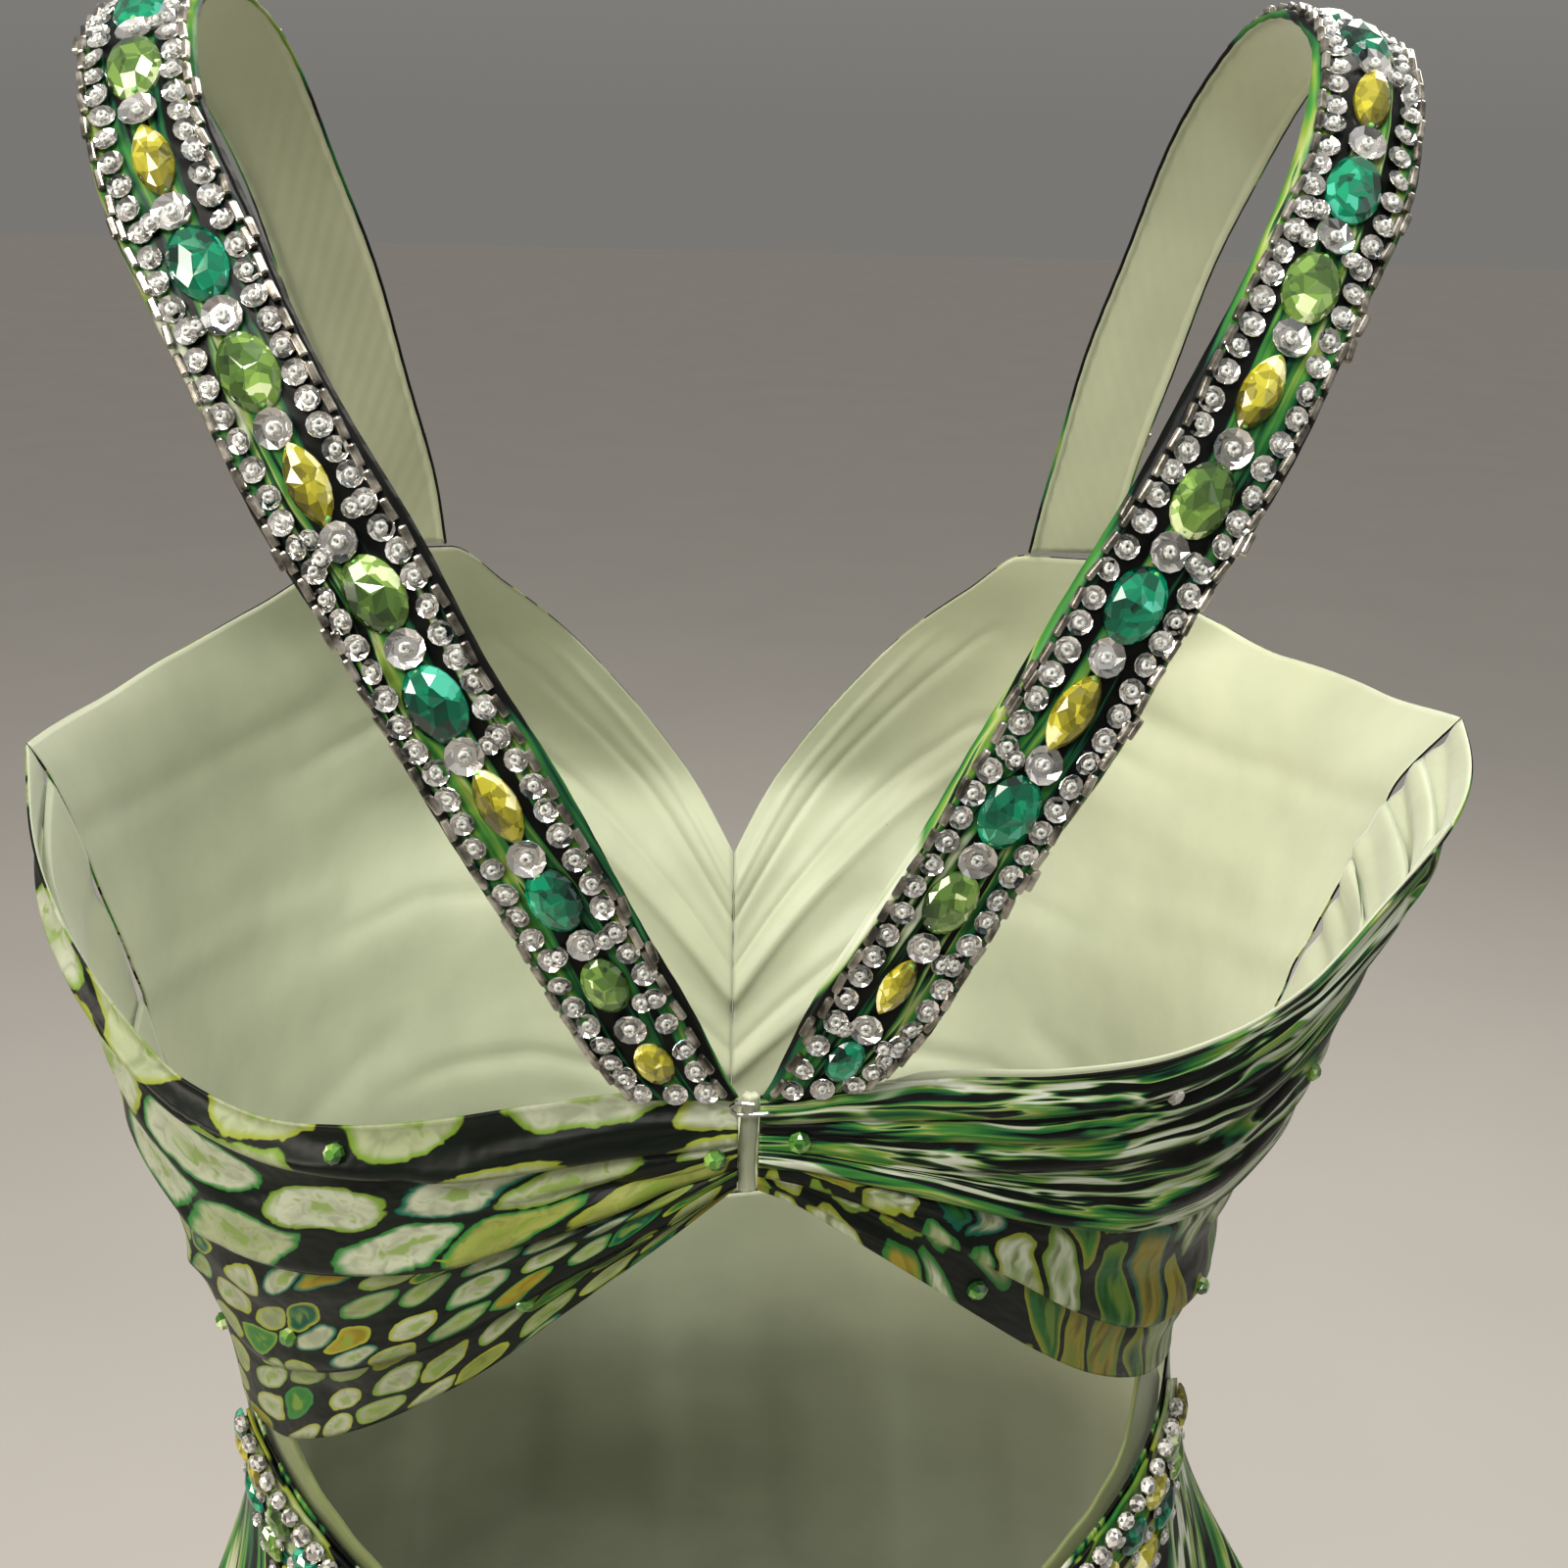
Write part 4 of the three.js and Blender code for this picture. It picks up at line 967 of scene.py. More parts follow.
# Noise about four millimetres across mottles the silver lining from dark to pale.
lining_mottle = add_node(bugle_tree, "TexNoise", {
    "Vector": add_node(bugle_tree, "TexCoord").outputs["Object"], "Scale": 260.0, "Detail": 3.0,
}).outputs[0]
bugle_tree.links.new(
    add_node(bugle_tree, "ValToRGB", {0: lining_mottle}, stops=(
        (0.36, "#3d3932"), (0.5, "#7f7a6e"), (0.64, "#b9b3a6"))).outputs[0],
    bugle_shader.inputs["Base Color"],
)

sequin_cup = cup_sequin()
bpy.ops.object.select_all(action="DESELECT")
bpy.ops.mesh.primitive_torus_add(major_segments=9, minor_segments=6, major_radius=0.3, minor_radius=0.22)
seed_bead = bpy.context.object
bpy.ops.object.select_all(action="DESELECT")
bpy.ops.mesh.primitive_cylinder_add(vertices=6, radius=0.5, depth=1, rotation=(0, math.radians(90), 0))
bugle = bpy.context.object
bpy.ops.object.transform_apply(rotation=True)
bpy.ops.object.mode_set(mode="EDIT")
bpy.ops.mesh.select_all(action="SELECT")
bpy.ops.mesh.bevel(offset=0.09, segments=1)
bpy.ops.object.mode_set(mode="OBJECT")

sequins = {"left": [], "right": []}
beads = {"left": [], "right": []}
bugles = {"left": [], "right": []}


def add_sequin(kept, kept_beads, spot, across, tilt):
    """A cup with its bead, both on one spot."""
    turned = chance.uniform(0, math.pi)
    kept.append(set_on(spot, turned, tilt, (across, across, across)))
    point, way, sideways, facing = spot
    out = unit(facing + tilt[0] * way + tilt[1] * sideways)
    bead = SEED_BEAD * chance.uniform(0.92, 1.1) * (1.12 if across > 5 else 1.0)
    lifted = (point + out * (0.1 + 0.3 * bead), way, sideways, facing)
    kept_beads.append(set_on(lifted, turned, (tilt[0] * 0.5, tilt[1] * 0.5), (bead, bead, bead)))


for name, side in SIDES:
    stones = strap_stones(name)
    for before, after in zip(stones, stones[1:]):
        gap = (before[0] + before[1] / 2 + after[0] - after[1] / 2) / 2
        room = 1.0 if before[0] > 30 else 0.86
        spot = on_strap(name, gap, chance.uniform(-0.5, 0.5), STRAP_WALL + 0.55)
        add_sequin(sequins[name], beads[name], spot, LARGE_SEQUIN * room, chance.normal(0, 0.09, 2))
    foot_spot = on_strap(name, 2.2, 0.0, STRAP_WALL + 0.3)
    add_sequin(sequins[name], beads[name], foot_spot, 4.6, (0.0, 0.0))
    for edge in (-1, 1):
        along = 2.6
        while along < STRAP_LENGTH - 2.5:
            near = min(stones, key=lambda stone: abs(stone[0] - along))
            beside = math.cos(min(abs(near[0] - along) / near[1] * math.pi, math.pi))
            across = 6.75 + 0.55 * beside * (near[2] / 10) + chance.normal(0, 0.16)
            spot = on_strap(name, along, edge * across, STRAP_WALL + chance.uniform(0.15, 0.7))
            tilt = (chance.normal(0, 0.13), edge * 0.1 + chance.normal(0, 0.13))
            add_sequin(sequins[name], beads[name], spot, SMALL_SEQUIN * chance.uniform(0.95, 1.06), tilt)
            between = abs(near[0] - along) > near[1] * 0.46
            if between and chance.random() < 0.3 and along > 12:
                inner = on_strap(name, along + chance.uniform(-1.2, 1.2), edge * 4.4, STRAP_WALL + 0.9)
                add_sequin(sequins[name], beads[name], inner, 3.6, chance.normal(0, 0.18, 2))
            along += SMALL_PITCH * chance.uniform(0.94, 1.08)
        along = 3.4
        while along < STRAP_LENGTH - 3:
            rim = 9.3 if edge < 0 else 9.5
            across = edge * (rim + chance.normal(0, 0.12))
            pairs = 2 if chance.random() < 0.1 else 1
            for layer in range(pairs):
                spot = on_strap(name, along + 1.2 * layer, across + edge * 1.1 * layer, STRAP_WALL + 0.6)
                size = (BUGLE_LENGTH, BUGLE_WIDTH, BUGLE_WIDTH)
                bugles[name].append(set_on(spot, chance.normal(0, 0.07), (0, 0), size))
            along += 5.05 * chance.uniform(0.98, 1.05)

# ---- Rhinestones sewn here and there ----
# Small round stones on the bands, the front and the upper skirt, clear or green, each caught by one thread.
bpy.ops.object.select_all(action="DESELECT")
bpy.ops.mesh.primitive_cylinder_add(vertices=8, radius=0.5, depth=0.26, location=(0, 0, 0.13))
round_stone = bpy.context.object
bpy.ops.object.transform_apply(location=True)
bpy.ops.object.mode_set(mode="EDIT")
bpy.ops.mesh.select_mode(type="FACE")
bpy.ops.mesh.select_all(action="DESELECT")
bpy.ops.object.mode_set(mode="OBJECT")
for polygon in round_stone.data.polygons:
    polygon.select = polygon.normal.z > 0.9
bpy.ops.object.mode_set(mode="EDIT")
bpy.ops.mesh.extrude_region_move(TRANSFORM_OT_translate={"value": (0, 0, 0.24)})
bpy.ops.transform.resize(value=(0.5, 0.5, 1))
bpy.ops.transform.rotate(value=math.radians(22.5), orient_axis="Z", center_override=(0, 0, 0))
bpy.ops.object.mode_set(mode="OBJECT")


def spot_on_form(side, turn, drop, lift):
    """A spot on the outline for set_on: its point, the way down, the way round and outwards."""
    point = on_form(side, turn, drop, lift)
    out = unit(way_out(side, turn, drop))
    down = unit(on_form(side, turn, drop + 1, lift) - point)
    round_way = np.cross(out, down)
    return point, down, round_way, out


# ---- Front bodice ----
# Two lined front panels meet at a centre seam under a V neck. The satin is gathered there, and the gathers
# fan out over the bust to the side seams.
# Each row: turn, drop of the neckline and armhole edge.
FRONT_TOP = {
    "left": ((1, 152), (1.15, 153), (1.3, 149), (1.42, 141), (1.5, 132), (1.55, 126.5), (1.66, 126.5),
             (1.72, 139), (1.8, 160), (1.9, 190), (2, 224)),
    "right": ((1, 142), (1.15, 146), (1.3, 146), (1.42, 140), (1.5, 132), (1.55, 126.5), (1.66, 126.5),
              (1.72, 139), (1.8, 160), (1.9, 190), (2, 224)),
}
WAIST_SEAM = {
    "left": ((1, 307), (1.3, 310), (1.6, 317), (2, 324)),
    "right": ((1, 297), (1.3, 304), (1.6, 315), (2, 324)),
}
FRONT_GATHERS = ((0.3, 0.34, 2.2), (0.52, 0.55, 2.6), (0.74, 0.78, 2.2))
GATHER_REACH = 0.13
# Each row: share at the centre front and at the far end, first and last turn from the centre, width, height.
FRONT_CREASES = (
    (0.08, 0.02, 0.0, 0.5, 3.0, 1.0), (0.18, 0.12, 0.0, 0.42, 2.4, -0.9), (0.24, 0.2, 0.0, 0.66, 2.8, 1.1),
    (0.38, 0.4, 0.0, 0.36, 2.2, -1.0), (0.44, 0.47, 0.0, 0.7, 2.6, 1.0), (0.6, 0.66, 0.0, 0.45, 2.2, -1.0),
    (0.68, 0.74, 0.0, 0.7, 2.6, 1.1), (0.82, 0.88, 0.0, 0.4, 2.2, 0.9), (0.9, 0.95, 0.0, 0.3, 1.8, -0.7),
    (0.3, 0.12, 0.5, 1.0, 5.0, 0.9), (0.52, 0.6, 0.55, 1.0, 5.0, -0.9), (0.8, 0.86, 0.5, 1.0, 4.0, 0.8),
)


def front_bodice(name, side):
    def lines(across, up):
        turn = mix(1.001, 1.9993, across)
        low = smooth_read(WAIST_SEAM[name], 1, turn) - 0.3
        top = smooth_read(FRONT_TOP[name], 1, turn)
        return turn, low, top

    def place(across, up):
        turn, low, top = lines(across, up)
        away = 2 - turn
        lift = np.zeros_like(up)
        for centre, far, depth in FRONT_GATHERS:
            near = np.clip(1 - np.abs(up - mix(centre, far, away)) / GATHER_REACH, 0, 1)
            lift += depth * near * near * (3 - 2 * near) * (1 - 0.7 * ease(0.3, 1, away))
        small = crease_lift(FRONT_CREASES, up, away, low - top)
        at_edge = np.minimum(ease(0, 0.05, up), 1 - ease(0.93, 1, up))
        drop = mix(low, top, up)
        return on_form(side, turn, drop, lift + small * mix(0.25, 1.0, at_edge)), way_out(side, turn, drop)

    def print_at(across, up):
        turn, low, top = lines(across, up)
        away = 2 - turn
        along = away * girth_at(side, False, mix(low, top, up))
        height = mix(185, low - top, 0.6)
        pattern = np.stack((along + (900 if side > 0 else 1250), up * height + 30 * away), axis=-1)
        return pattern, 0.2 + 1.2 * ease(0.25, 0.7, up) + 0.6 * ease(0.4, 1, away)

    return cloth_panel(f"bodice_front_satin_{name}", 130, 110, place, print_at, SATIN_WALL,
                       (PRINTED_SATIN, PALE_LINING))


bodice_fronts = {}
for name, side in SIDES:
    bodice_fronts[name] = front_bodice(name, side)
    finished(bodice_fronts[name], "printed_satin", f"bodice_front_{name}")

# ---- Skirt ----
# A front and a back panel, joined at the side seams and flared to a floor-length hem. The cloth hangs in deep
# uneven folds that start at the hip, with shallow pulls between them and a stitched double hem.
# Each row: turn, drop of the cut edge of the back opening.
OPENING_EDGE = {
    "left": ((0, 368), (0.15, 366.5), (0.3, 359), (0.42, 349), (0.52, 338.5), (0.61, 328.5), (0.69, 320),
             (0.75, 312.5), (0.79, 306)),
    "right": ((0, 368), (0.15, 366), (0.3, 357.5), (0.42, 345.5), (0.52, 331.5), (0.61, 322), (0.69, 314),
              (0.75, 308), (0.8, 300), (0.825, 293.5)),
}
# Each row: place round the panel from -1 to 1, half width on that scale, depth at the hem, first drop.
SKIRT_FOLDS = {
    "back": ((-0.9, 0.1, 16, 335), (-0.68, 0.14, 25, 560), (-0.45, 0.11, 19, 470), (-0.22, 0.13, 28, 620),
             (0.02, 0.11, 22, 450), (0.25, 0.12, 27, 580), (0.48, 0.12, 20, 500), (0.7, 0.12, 26, 640),
             (0.9, 0.1, 15, 360)),
    "front": ((-0.88, 0.11, 18, 520), (-0.66, 0.12, 24, 430), (-0.42, 0.13, 20, 600), (-0.2, 0.1, 23, 480),
              (0.01, 0.12, 19, 560), (0.22, 0.11, 25, 440), (0.45, 0.13, 21, 620), (0.67, 0.11, 24, 500),
              (0.88, 0.11, 17, 580)),
}
EARLY_FOLD = 380
SKIRT_PRINT = 1.45  # its motifs are this much larger than those of the bodice
# Each row: place round at its top, place round at its foot, first drop, last drop, width in mm, height in mm.
SKIRT_PULLS = {
    "back": (
        (-0.97, -0.8, 330, 520, 5, 2.2), (-0.9, -0.6, 345, 600, 6, -1.6), (-0.78, -0.52, 380, 640, 7, 1.6),
        (-0.5, -0.38, 400, 700, 7, -1.6), (-0.3, -0.33, 420, 900, 8, 1.7), (-0.08, -0.1, 400, 760, 7, 1.5),
        (0.12, 0.13, 420, 860, 8, -1.5), (0.34, 0.37, 400, 720, 7, 1.6), (0.56, 0.6, 390, 640, 7, -1.5),
        (0.8, 0.58, 360, 600, 6, 1.6), (0.97, 0.8, 335, 540, 5, 2.0), (-0.57, -0.57, 800, 1400, 9, 3.0),
        (-0.33, -0.34, 900, 1400, 8, 2.6), (0.14, 0.13, 950, 1400, 9, 2.8), (0.36, 0.37, 820, 1400, 8, 2.4),
        (0.59, 0.6, 900, 1400, 9, 3.0), (-0.8, -0.79, 850, 1400, 8, 2.6), (0.81, 0.8, 800, 1400, 8, 2.4),
    ),
    "front": (
        (-0.9, -0.7, 330, 560, 6, 1.7), (-0.7, -0.55, 350, 600, 6, -1.5), (-0.46, -0.52, 345, 700, 7, 1.6),
        (-0.28, -0.3, 350, 640, 6, -1.5), (-0.08, -0.1, 340, 720, 7, 1.6), (0.1, 0.12, 345, 600, 6, -1.4),
        (0.3, 0.33, 340, 700, 7, 1.6), (0.52, 0.56, 350, 620, 6, -1.5), (0.74, 0.7, 340, 660, 7, 1.6),
        (0.93, 0.86, 335, 560, 6, 1.8), (-0.54, -0.54, 850, 1400, 9, 2.8), (-0.31, -0.31, 800, 1400, 8, 2.6),
        (-0.1, -0.09, 900, 1400, 8, 2.4), (0.12, 0.12, 850, 1400, 9, 2.8), (0.33, 0.34, 950, 1400, 8, 2.6),
        (0.56, 0.56, 820, 1400, 9, 2.8), (0.78, 0.78, 880, 1400, 8, 2.4),
    ),
}


def skirt_top(name, turn):
    turn = np.asarray(turn, float)
    edge = OPENING_EDGE[name]
    opening = smooth_read(edge, 1, turn)
    under_band = smooth_read(BAND_EDGES[name], 2, turn) + 0.3
    at_waist = smooth_read(WAIST_SEAM[name], 1, turn)
    return np.where(turn > 1, at_waist, np.where(turn <= edge[-1][0], opening, under_band))


def skirt_folds(panel, around, drop):
    lift = np.zeros_like(drop)
    for middle, reach, depth, start in SKIRT_FOLDS[panel]:
        away = np.abs(around - middle) / reach
        bump = np.where(away < 1, 0.5 + 0.5 * np.cos(math.pi * np.minimum(away, 1)), 0) ** 1.5
        hip = 0.4 * ease(start, start + 70, drop) if start < EARLY_FOLD else 0
        hang = ease(start, HEM_DROP + 300, drop) / ease(start, HEM_DROP + 300, HEM_DROP)
        lift += depth * bump * np.maximum(hip, hang)
    return lift


PULL_STRENGTH = 2.3


def skirt_pulls(panel, around, drop, half_girth):
    lift = np.zeros_like(drop)
    for top_place, foot_place, first, last, width, rise in SKIRT_PULLS[panel]:
        along = np.clip((drop - first) / (last - first), 0, 1)
        away = (around - mix(top_place, foot_place, along)) * half_girth / (width * (1 + along))
        fade = ease(0, 0.35, along) * (1 if last == HEM_DROP else 1 - ease(0.5, 1, along))
        lift += PULL_STRENGTH * rise * fade * np.exp(-away * away)
    return lift


def skirt_panel(panel):
    behind = panel == "back"

    def lines(across, up):
        around = mix(-0.999, 0.999, across)
        turn = np.abs(around) if behind else 2 - np.abs(around)
        top = np.where(around < 0, skirt_top("right", turn), skirt_top("left", turn))
        return around, turn, mix(top, HEM_DROP, (1 - up) ** 1.25)

    def place(across, up):
        around, turn, drop = lines(across, up)
        half_girth = np.where(around < 0, girth_at(-1, behind, drop), girth_at(1, behind, drop))
        lift = skirt_folds(panel, around, drop) + skirt_pulls(panel, around, drop, half_girth)
        lift -= 0.5 * np.exp(-((HEM_DROP - 32 - drop) / 1.6) ** 2)
        right, left = (on_form(half, turn, drop, lift) for half in (-1, 1))
        right_out, left_out = (way_out(half, turn, drop) for half in (-1, 1))
        here = (around < 0)[:, None]
        return np.where(here, right, left), np.where(here, right_out, left_out)

    def print_at(across, up):
        around, turn, drop = lines(across, up)
        half_girth = np.where(around < 0, girth_at(-1, behind, drop), girth_at(1, behind, drop))
        # The leaves of the print hang down the skirt, so its pattern is laid a quarter turn round.
        girth_place = around * half_girth
        sideways = girth_place + 600 if behind else 2600 - girth_place
        pattern = np.stack((drop + 2000, sideways), axis=-1) / SKIRT_PRINT
        drift = 0.5 * np.sin(girth_place / 47 + drop / 83) + 0.42 * np.sin(girth_place / 90 - drop / 61 + 2)
        zone = 3.25 - 0.35 * ease(380, 600, drop) - 1.6 * ease(480, 900, drop) - 1.0 * ease(850, 1250, drop)
        zone += drift * ease(380, 560, drop)
        return pattern, zone

    return cloth_panel(f"skirt_satin_{panel}", 230, 180, place, print_at, SATIN_WALL,
                       (PRINTED_SATIN, PALE_LINING))


skirts = {}
for panel in ("back", "front"):
    skirts[panel] = skirt_panel(panel)
    finished(skirts[panel], "printed_satin", f"skirt_{panel}")

# ---- Facing and beaded border of the back opening ----
# The cut edge is turned in over an olive facing, its darker colour partly painted shade. On its face a border
# is sewn round it: a row of clear crystals on the edge, then sequins, then coloured ovals and navettes.
FACING_SHOW = ((0, 2), (0.5, 2.2), (0.6, 3), (0.7, 6))
FACING_RISES = 0.7
CENTRE_TURN = 0.0015


def edge_place(name, side, turn, reach):
    """Turn and drop of a place beside the cut edge, a reach in mm square to it and on to the skirt."""
    step = 0.01
    before = np.maximum(turn - step, 0)
    ahead_length = (turn + step) * girth_at(side, True, skirt_top(name, turn + step))
    along = ahead_length - before * girth_at(side, True, skirt_top(name, before))
    rise = skirt_top(name, before) - skirt_top(name, turn + step)
    slant = np.hypot(along, rise)
    drop = skirt_top(name, turn) + reach * along / slant
    girth = turn * girth_at(side, True, skirt_top(name, turn)) + reach * rise / slant
    return np.maximum(girth / girth_at(side, True, drop), CENTRE_TURN), drop


def facing(name, side):
    # Past a turn of 0.7 its inner edge leaves the cut edge and runs up behind the band.
    upper = (FACING_RISES + 0.015, smooth_read(BAND_EDGES[name], 2, FACING_RISES) - 7)

    def at(across, up):
        turn = mix(CENTRE_TURN, 0.8, across)
        cut = np.minimum(turn, FACING_RISES)
        inner_turn, inner_drop = edge_place(name, side, cut, -smooth_read(FACING_SHOW, 1, cut))
        rising = np.clip((turn - FACING_RISES) / (0.8 - FACING_RISES), 0, 1)
        inner_turn, inner_drop = mix(inner_turn, upper[0], rising), mix(inner_drop, upper[1], rising)
        outer_turn, outer_drop = edge_place(name, side, turn, 8)
        return mix(outer_turn, inner_turn, up), mix(outer_drop, inner_drop, up)

    def place(across, up):
        turn, drop = at(across, up)
        ripple = 0.15 * np.sin(across * 70) * up
        return on_form(side, turn, drop, -2.2 + ripple), way_out(side, turn, drop)

    def print_at(across, up):
        return np.stack((across * 150, up * 20), axis=-1), np.zeros_like(across)

    return cloth_panel(f"opening_facing_satin_{name}", 90, 10, place, print_at, 0.9, (OLIVE_FACING_AND_PAINTED_SHADE,))


def trim_reach(turn, reach):
    return reach * (1 - 0.25 * ease(0.6, 0.8, turn))


def trim_base(name, side):
    def at(across, up):
        turn = mix(CENTRE_TURN, 0.8, across)
        return edge_place(name, side, turn, trim_reach(turn, mix(26, 0.6, up)))

    def place(across, up):
        turn, drop = at(across, up)
        return on_form(side, turn, drop, 1.5 + 0.1 * np.sin(across * 90 + up * 9)), way_out(side, turn, drop)

    def print_at(across, up):
        pattern = np.stack((across * 150 + (2600 if side > 0 else 2900), up * 26 + 90), axis=-1)
        return pattern, np.full_like(across, 1.7)

    return cloth_panel(f"opening_border_satin_{name}", 120, 20, place, print_at, 0.9, (PRINTED_SATIN,))


def border_spots(name, side, reach, pitch, first, lift):
    """Spots along the border at one reach, evenly spaced from the centre back."""
    turns = np.linspace(CENTRE_TURN, 0.795, 500)
    turn, drop = edge_place(name, side, turns, trim_reach(turns, reach))
    line = on_form(side, turn, drop, lift)
    walked = np.concatenate(([0], np.cumsum(np.linalg.norm(np.diff(line, axis=0), axis=1))))
    spots = []
    for along in np.arange(first, walked[-1] - 1, pitch):
        here = np.interp(along, walked, turn)
        low = np.interp(along, walked, drop)
        point = on_form(side, here, low, lift)
        out = unit(way_out(side, here, low))
        ahead_at = min(along + 1, walked[-1])
        there = on_form(side, np.interp(ahead_at, walked, turn), np.interp(ahead_at, walked, drop), lift)
        way = unit(there - point)
        spots.append((point, way, np.cross(out, way), out))
    return spots


facings, borders = {}, {}
border_sequins, border_beads = {"left": [], "right": []}, {"left": [], "right": []}
crystals = {"left": [], "right": []}
# Crystal colours run from a grey painted shade to a white painted glint.
CRYSTAL = foiled_acrylic("foiled_glass_crystal", "#4a4741", "#8f8c84", "#d0cdc4", "#ffffff",
                         painted_reflection_share=0.12, places=(0.15, 0.45, 0.75, 0.98))
BORDER_OVALS = "cepcecpe"
BORDER_NAVETTES = "ecpecepc"
CRYSTAL_PITCH, CRYSTAL_SIZE, SEQUIN_PITCH, STONES_PITCH = 4.9, 4.5, 6.0, 12.0
bpy.ops.object.select_all(action="DESELECT")
bpy.ops.mesh.primitive_ico_sphere_add(subdivisions=2, radius=0.5)
crystal_bead = bpy.context.object
for name, side in SIDES:
    facings[name] = facing(name, side)
    finished(facings[name], "olive_lining", f"opening_facing_{name}")
    borders[name] = trim_base(name, side)
    finished(borders[name], "beaded_strap", f"opening_trim_{name}")
    for spot in border_spots(name, side, 2.9, CRYSTAL_PITCH, CRYSTAL_PITCH / 2, 3.2):
        size = CRYSTAL_SIZE * chance.uniform(0.95, 1.08)
        turned, tilt = chance.uniform(0, 3), chance.normal(0, 0.1, 2)
        crystals[name].append(set_on(spot, turned, tilt, (size, size, size * 0.8)))
    for spot in border_spots(name, side, 6.6, CRYSTAL_PITCH, 4.6, 2.4):
        if chance.random() < 0.72:
            add_sequin(border_sequins[name], border_beads[name], spot, 4.2, chance.normal(0, 0.16, 2))
    for reach, first in ((16.3, 6.0), (25.0, 3.0)):
        for spot in border_spots(name, side, reach, SEQUIN_PITCH, first, 2.0):
            add_sequin(border_sequins[name], border_beads[name], spot, 4.1, chance.normal(0, 0.12, 2))
    by_kind = {}
    for letters, reach, first, form, size in (
        (BORDER_OVALS, 11.5, 6.0, "ovals", (10 / 14, 7.5 / 10, 2.6 / 3.2)),
        (BORDER_NAVETTES, 20.5, 11.0, "navettes", (11 / 15, 6 / 7, 2.4 / 2.8)),
    ):
        for place, spot in enumerate(border_spots(name, side, reach, STONES_PITCH, first, 1.8)):
            letter = letters[(place + (3 if side < 0 else 0)) % len(letters)]
            by_kind.setdefault((form, letter), []).append(set_on(spot, chance.normal(0, 0.08), (0, 0), size))
    for (form, letter), places in sorted(by_kind.items()):
        kind, material, slot = STONE_KINDS[letter]
        model = oval_stone if form == "ovals" else navette_stone
        strewn(f"border_{kind}_{form}_{name}", model, places, material, slot)
    # The crystals' facets get mostly random painted glints and little painted shade.
    strewn(f"border_crystals_{name}", crystal_bead, crystals[name], CRYSTAL, "crystal_bead", 0.06, 0.42)
    strewn(f"border_sequins_{name}", sequin_cup, border_sequins[name], SILVER_FILM, "silver_sequin")
    strewn(f"border_seed_beads_{name}", seed_bead, border_beads[name], CLEAR_BEAD, "crystal_bead",
           smooth=True)
    strewn(f"strap_sequins_{name}", sequin_cup, sequins[name], SILVER_FILM, "silver_sequin")
    strewn(f"strap_seed_beads_{name}", seed_bead, beads[name], CLEAR_BEAD, "crystal_bead", smooth=True)
    strewn(f"strap_bugles_{name}", bugle, bugles[name], SILVER_LINED, "bugle_bead")
# The rhinestones sit where the cloth really lies, under its pleats and folds.
# Each row: half, turn, drop, colour.
RHINESTONES = (
    (-1, 0.445, 192, "clear"), (1, 0.41, 204, "green"), (1, 0.66, 204, "green"), (-1, 0.05, 193, "green"),
    (1, 0.03, 197, "green"), (1, 0.57, 262, "green"), (1, 0.24, 238, "green"), (1, 0.83, 284, "green"),
    (-1, 0.28, 236, "green"), (-1, 0.73, 205, "green"), (-1, 0.72, 262, "green"),
    (1, 1.25, 205, "green"), (1, 1.5, 180, "clear"), (1, 1.62, 232, "green"), (1, 1.38, 268, "clear"),
    (1, 1.8, 262, "green"), (-1, 1.22, 222, "green"), (-1, 1.44, 176, "green"), (-1, 1.6, 254, "clear"),
    (-1, 1.3, 272, "green"), (-1, 1.78, 214, "green"), (1, 0.93, 402, "green"), (-1, 0.95, 430, "clear"),
    (1, 0.42, 452, "green"), (-1, 0.36, 470, "green"), (1, 1.4, 420, "clear"), (-1, 1.42, 440, "green"),
    (1, 1.72, 470, "green"), (-1, 1.7, 400, "green"),
)
RHINESTONE = 4.2
loose = {"clear": [], "green": []}
for half, turn, drop, colour in RHINESTONES:
    name = "left" if half > 0 else "right"
    point, down, round_way, out = spot_on_form(half, turn, drop, 40.0)
    for cloth in (back_bands[name], bodice_fronts[name], skirts["back"], skirts["front"]):
        met, place, normal, _ = cloth.ray_cast(Vector(point / 1000), Vector(-out), distance=0.06)
        if met:
            spot = (np.array(place) * 1000, down, round_way, np.array(normal))
            turned, tilt = chance.uniform(0, 3), chance.normal(0, 0.05, 2)
            loose[colour].append(set_on(spot, turned, tilt, (RHINESTONE, RHINESTONE, RHINESTONE)))
            break
# Both kinds of rhinestone are coloured by each face's painted shade, from deep to a painted glint.
LIME_CRYSTAL = foiled_acrylic("foiled_glass_green", "#1c4418", "#4c842c", "#86b24c", "#d2e6a8")
strewn("rhinestones_clear", round_stone, loose["clear"], CRYSTAL, "crystal_bead")
strewn("rhinestones_green", round_stone, loose["green"], LIME_CRYSTAL, "acrylic_peridot")

strewn("stone_threads", thread_knot, thread_places, thread_green, "printed_satin", smooth=True)
for model in (
    oval_stone, navette_stone, thread_knot, sequin_cup, seed_bead, bugle, round_stone, crystal_bead,
):
    bpy.data.objects.remove(model)

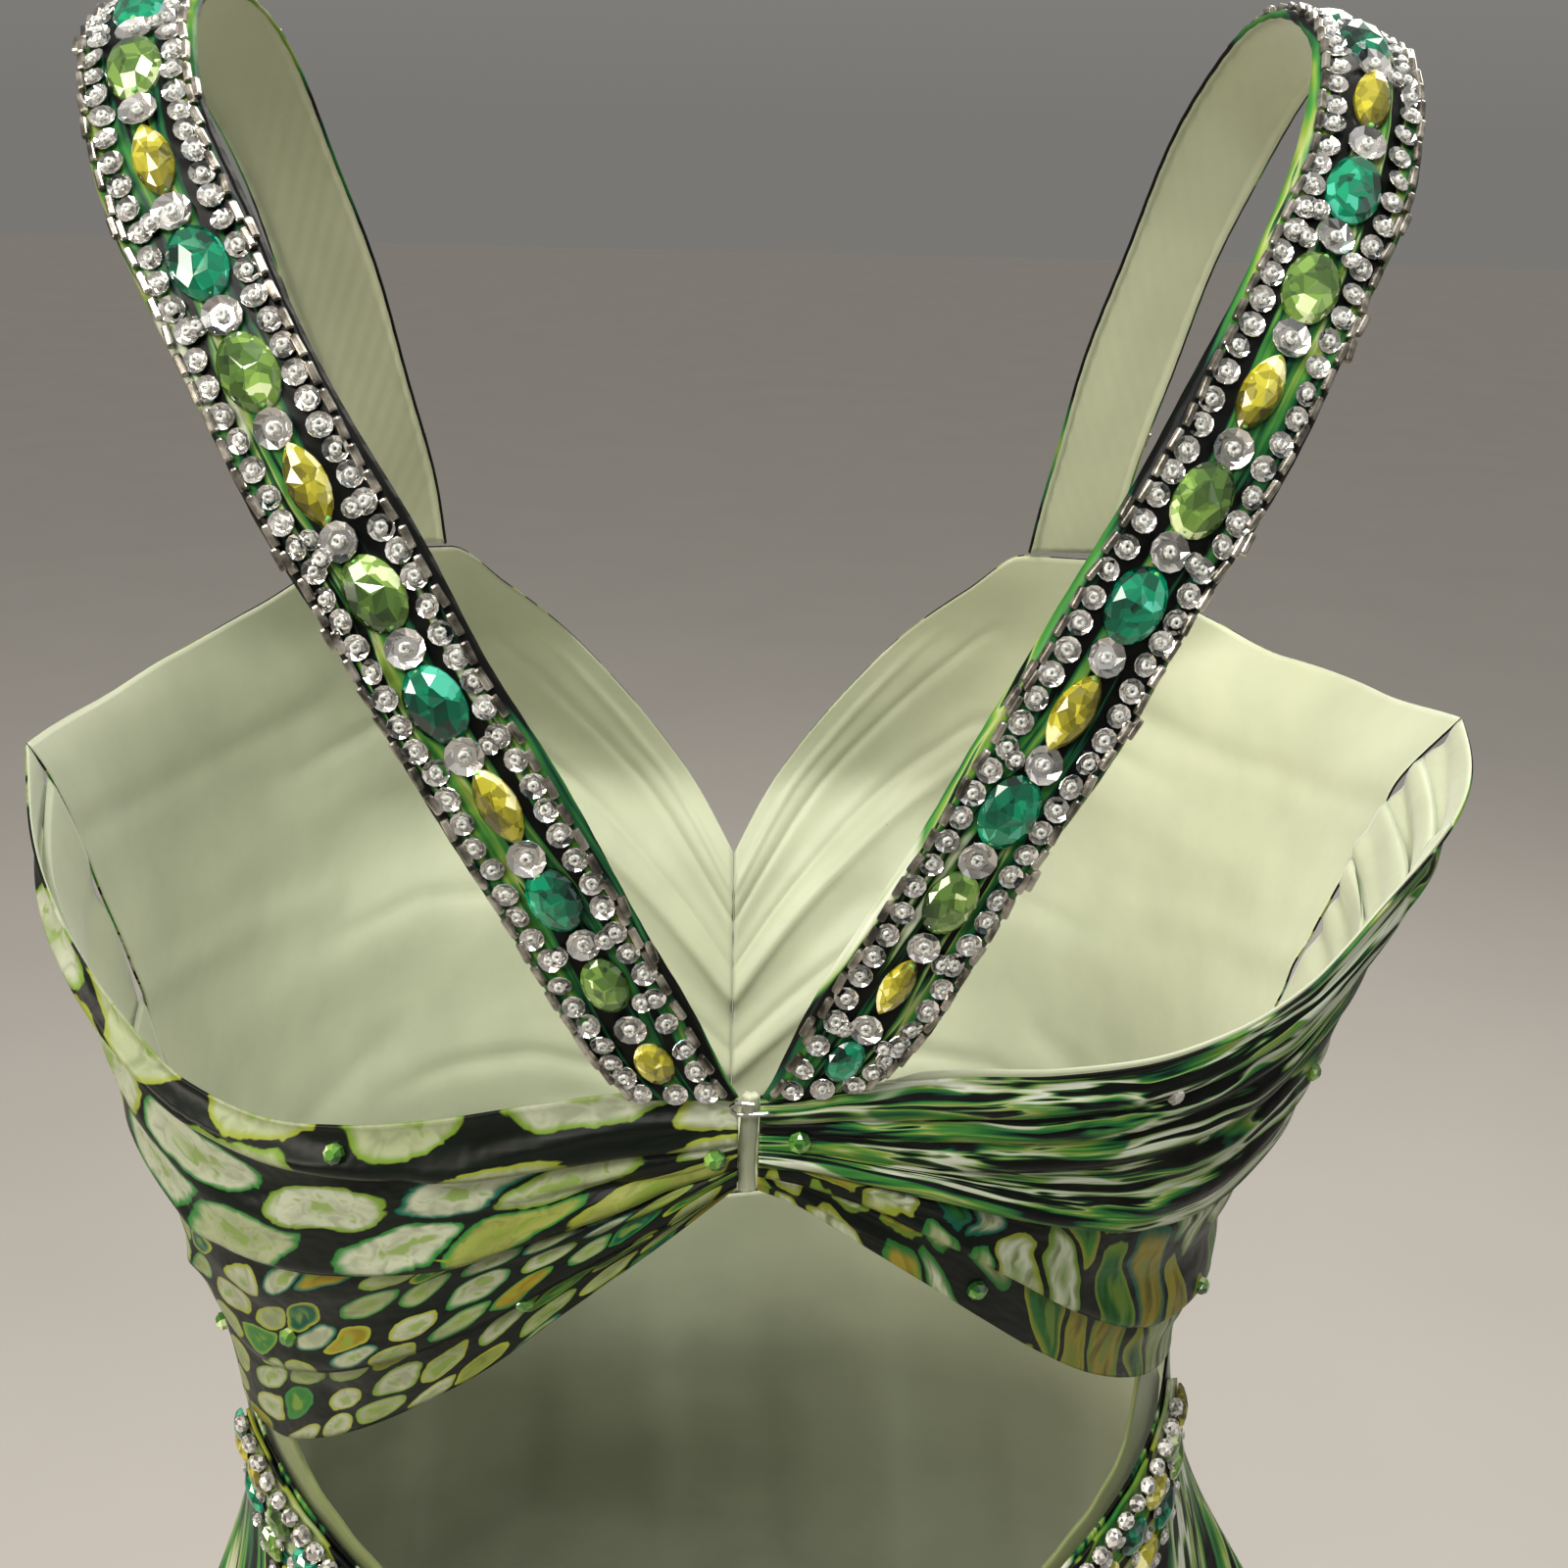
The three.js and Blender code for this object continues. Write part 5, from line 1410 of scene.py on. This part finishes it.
# ---- Floor and studio light ----
# A plain pale floor under the hem, with large soft lights round the gown and a dim even room behind it.
FLOOR_LEVEL = -1.4055
bpy.ops.object.select_all(action="DESELECT")
bpy.ops.mesh.primitive_plane_add(size=40, location=(0, 0, FLOOR_LEVEL))
floor = bpy.context.object
floor.name = "floor"
floor_paint, floor_tree, floor_shader = new_material("pale_floor_paint", "#b9b5ad", roughness=0.8)
rolled = add_node(floor_tree, "TexNoise", {
    "Vector": add_node(floor_tree, "TexCoord").outputs["Object"], "Scale": 3.0, "Detail": 3.0,
}).outputs[0]
floor_tree.links.new(
    add_node(floor_tree, "ValToRGB", {0: rolled}, stops=((0.3, "#b7b3ac"), (0.7, "#bab6af"))).outputs[0],
    floor_shader.inputs["Base Color"],
)
floor.data.materials.append(floor_paint)

world = bpy.data.worlds.new("studio_room")
bpy.context.scene.world = world
world.use_nodes = True
world_tree = world.node_tree
# The room is as bright at floor level as the floor is, so that the two meet softly, and brighter overhead.
sky = add_node(world_tree, "SeparateXYZ", {
    0: add_node(world_tree, "TexCoord").outputs["Generated"]})
overhead = add_node(world_tree, "MapRange", {0: sky.outputs[2], 1: 0.0, 2: 1.0, 3: 0.2, 4: 0.52})
world_tree.nodes["Background"].inputs[0].default_value = linear("#fbf7f1")
world_tree.links.new(overhead.outputs[0], world_tree.nodes["Background"].inputs[1])

# Each row: name, place in metres, aim, size in metres, power in watts, colour.
LIGHTS = (
    ("window_soft", (1.5, 1.2, 1.5), (0, 0.05, -0.25), 0.9, 36, "#fff6ec"),
    ("fill_left", (-2.0, 1.2, 0.5), (0, 0, -0.4), 1.4, 5, "#f1f5ff"),
    ("front_soft", (-1.2, -2.0, 1.2), (0, 0, -0.5), 1.4, 34, "#fff8f0"),
    ("overhead", (-0.25, 0.45, 2.1), (0, 0, -0.3), 0.5, 42, "#ffffff"),
    ("low_side", (2.3, 1.1, 0.1), (0, 0, -0.8), 0.7, 34, "#fff4e6"),
    ("glint", (0.3, 0.95, 0.75), (0, 0.08, -0.15), 0.26, 6, "#ffffff"),
)
for name, place, aim, size, power, colour in LIGHTS:
    light_data = bpy.data.lights.new(name, "AREA")
    light_data.size = size
    light_data.energy = power
    light_data.color = linear(colour)[:3]
    light = bpy.data.objects.new(name, light_data)
    light.location = place
    light.rotation_euler = (Vector(aim) - Vector(place)).to_track_quat("-Z", "Y").to_euler()
    bpy.context.scene.collection.objects.link(light)
bpy.context.scene.view_settings.view_transform = "Standard"
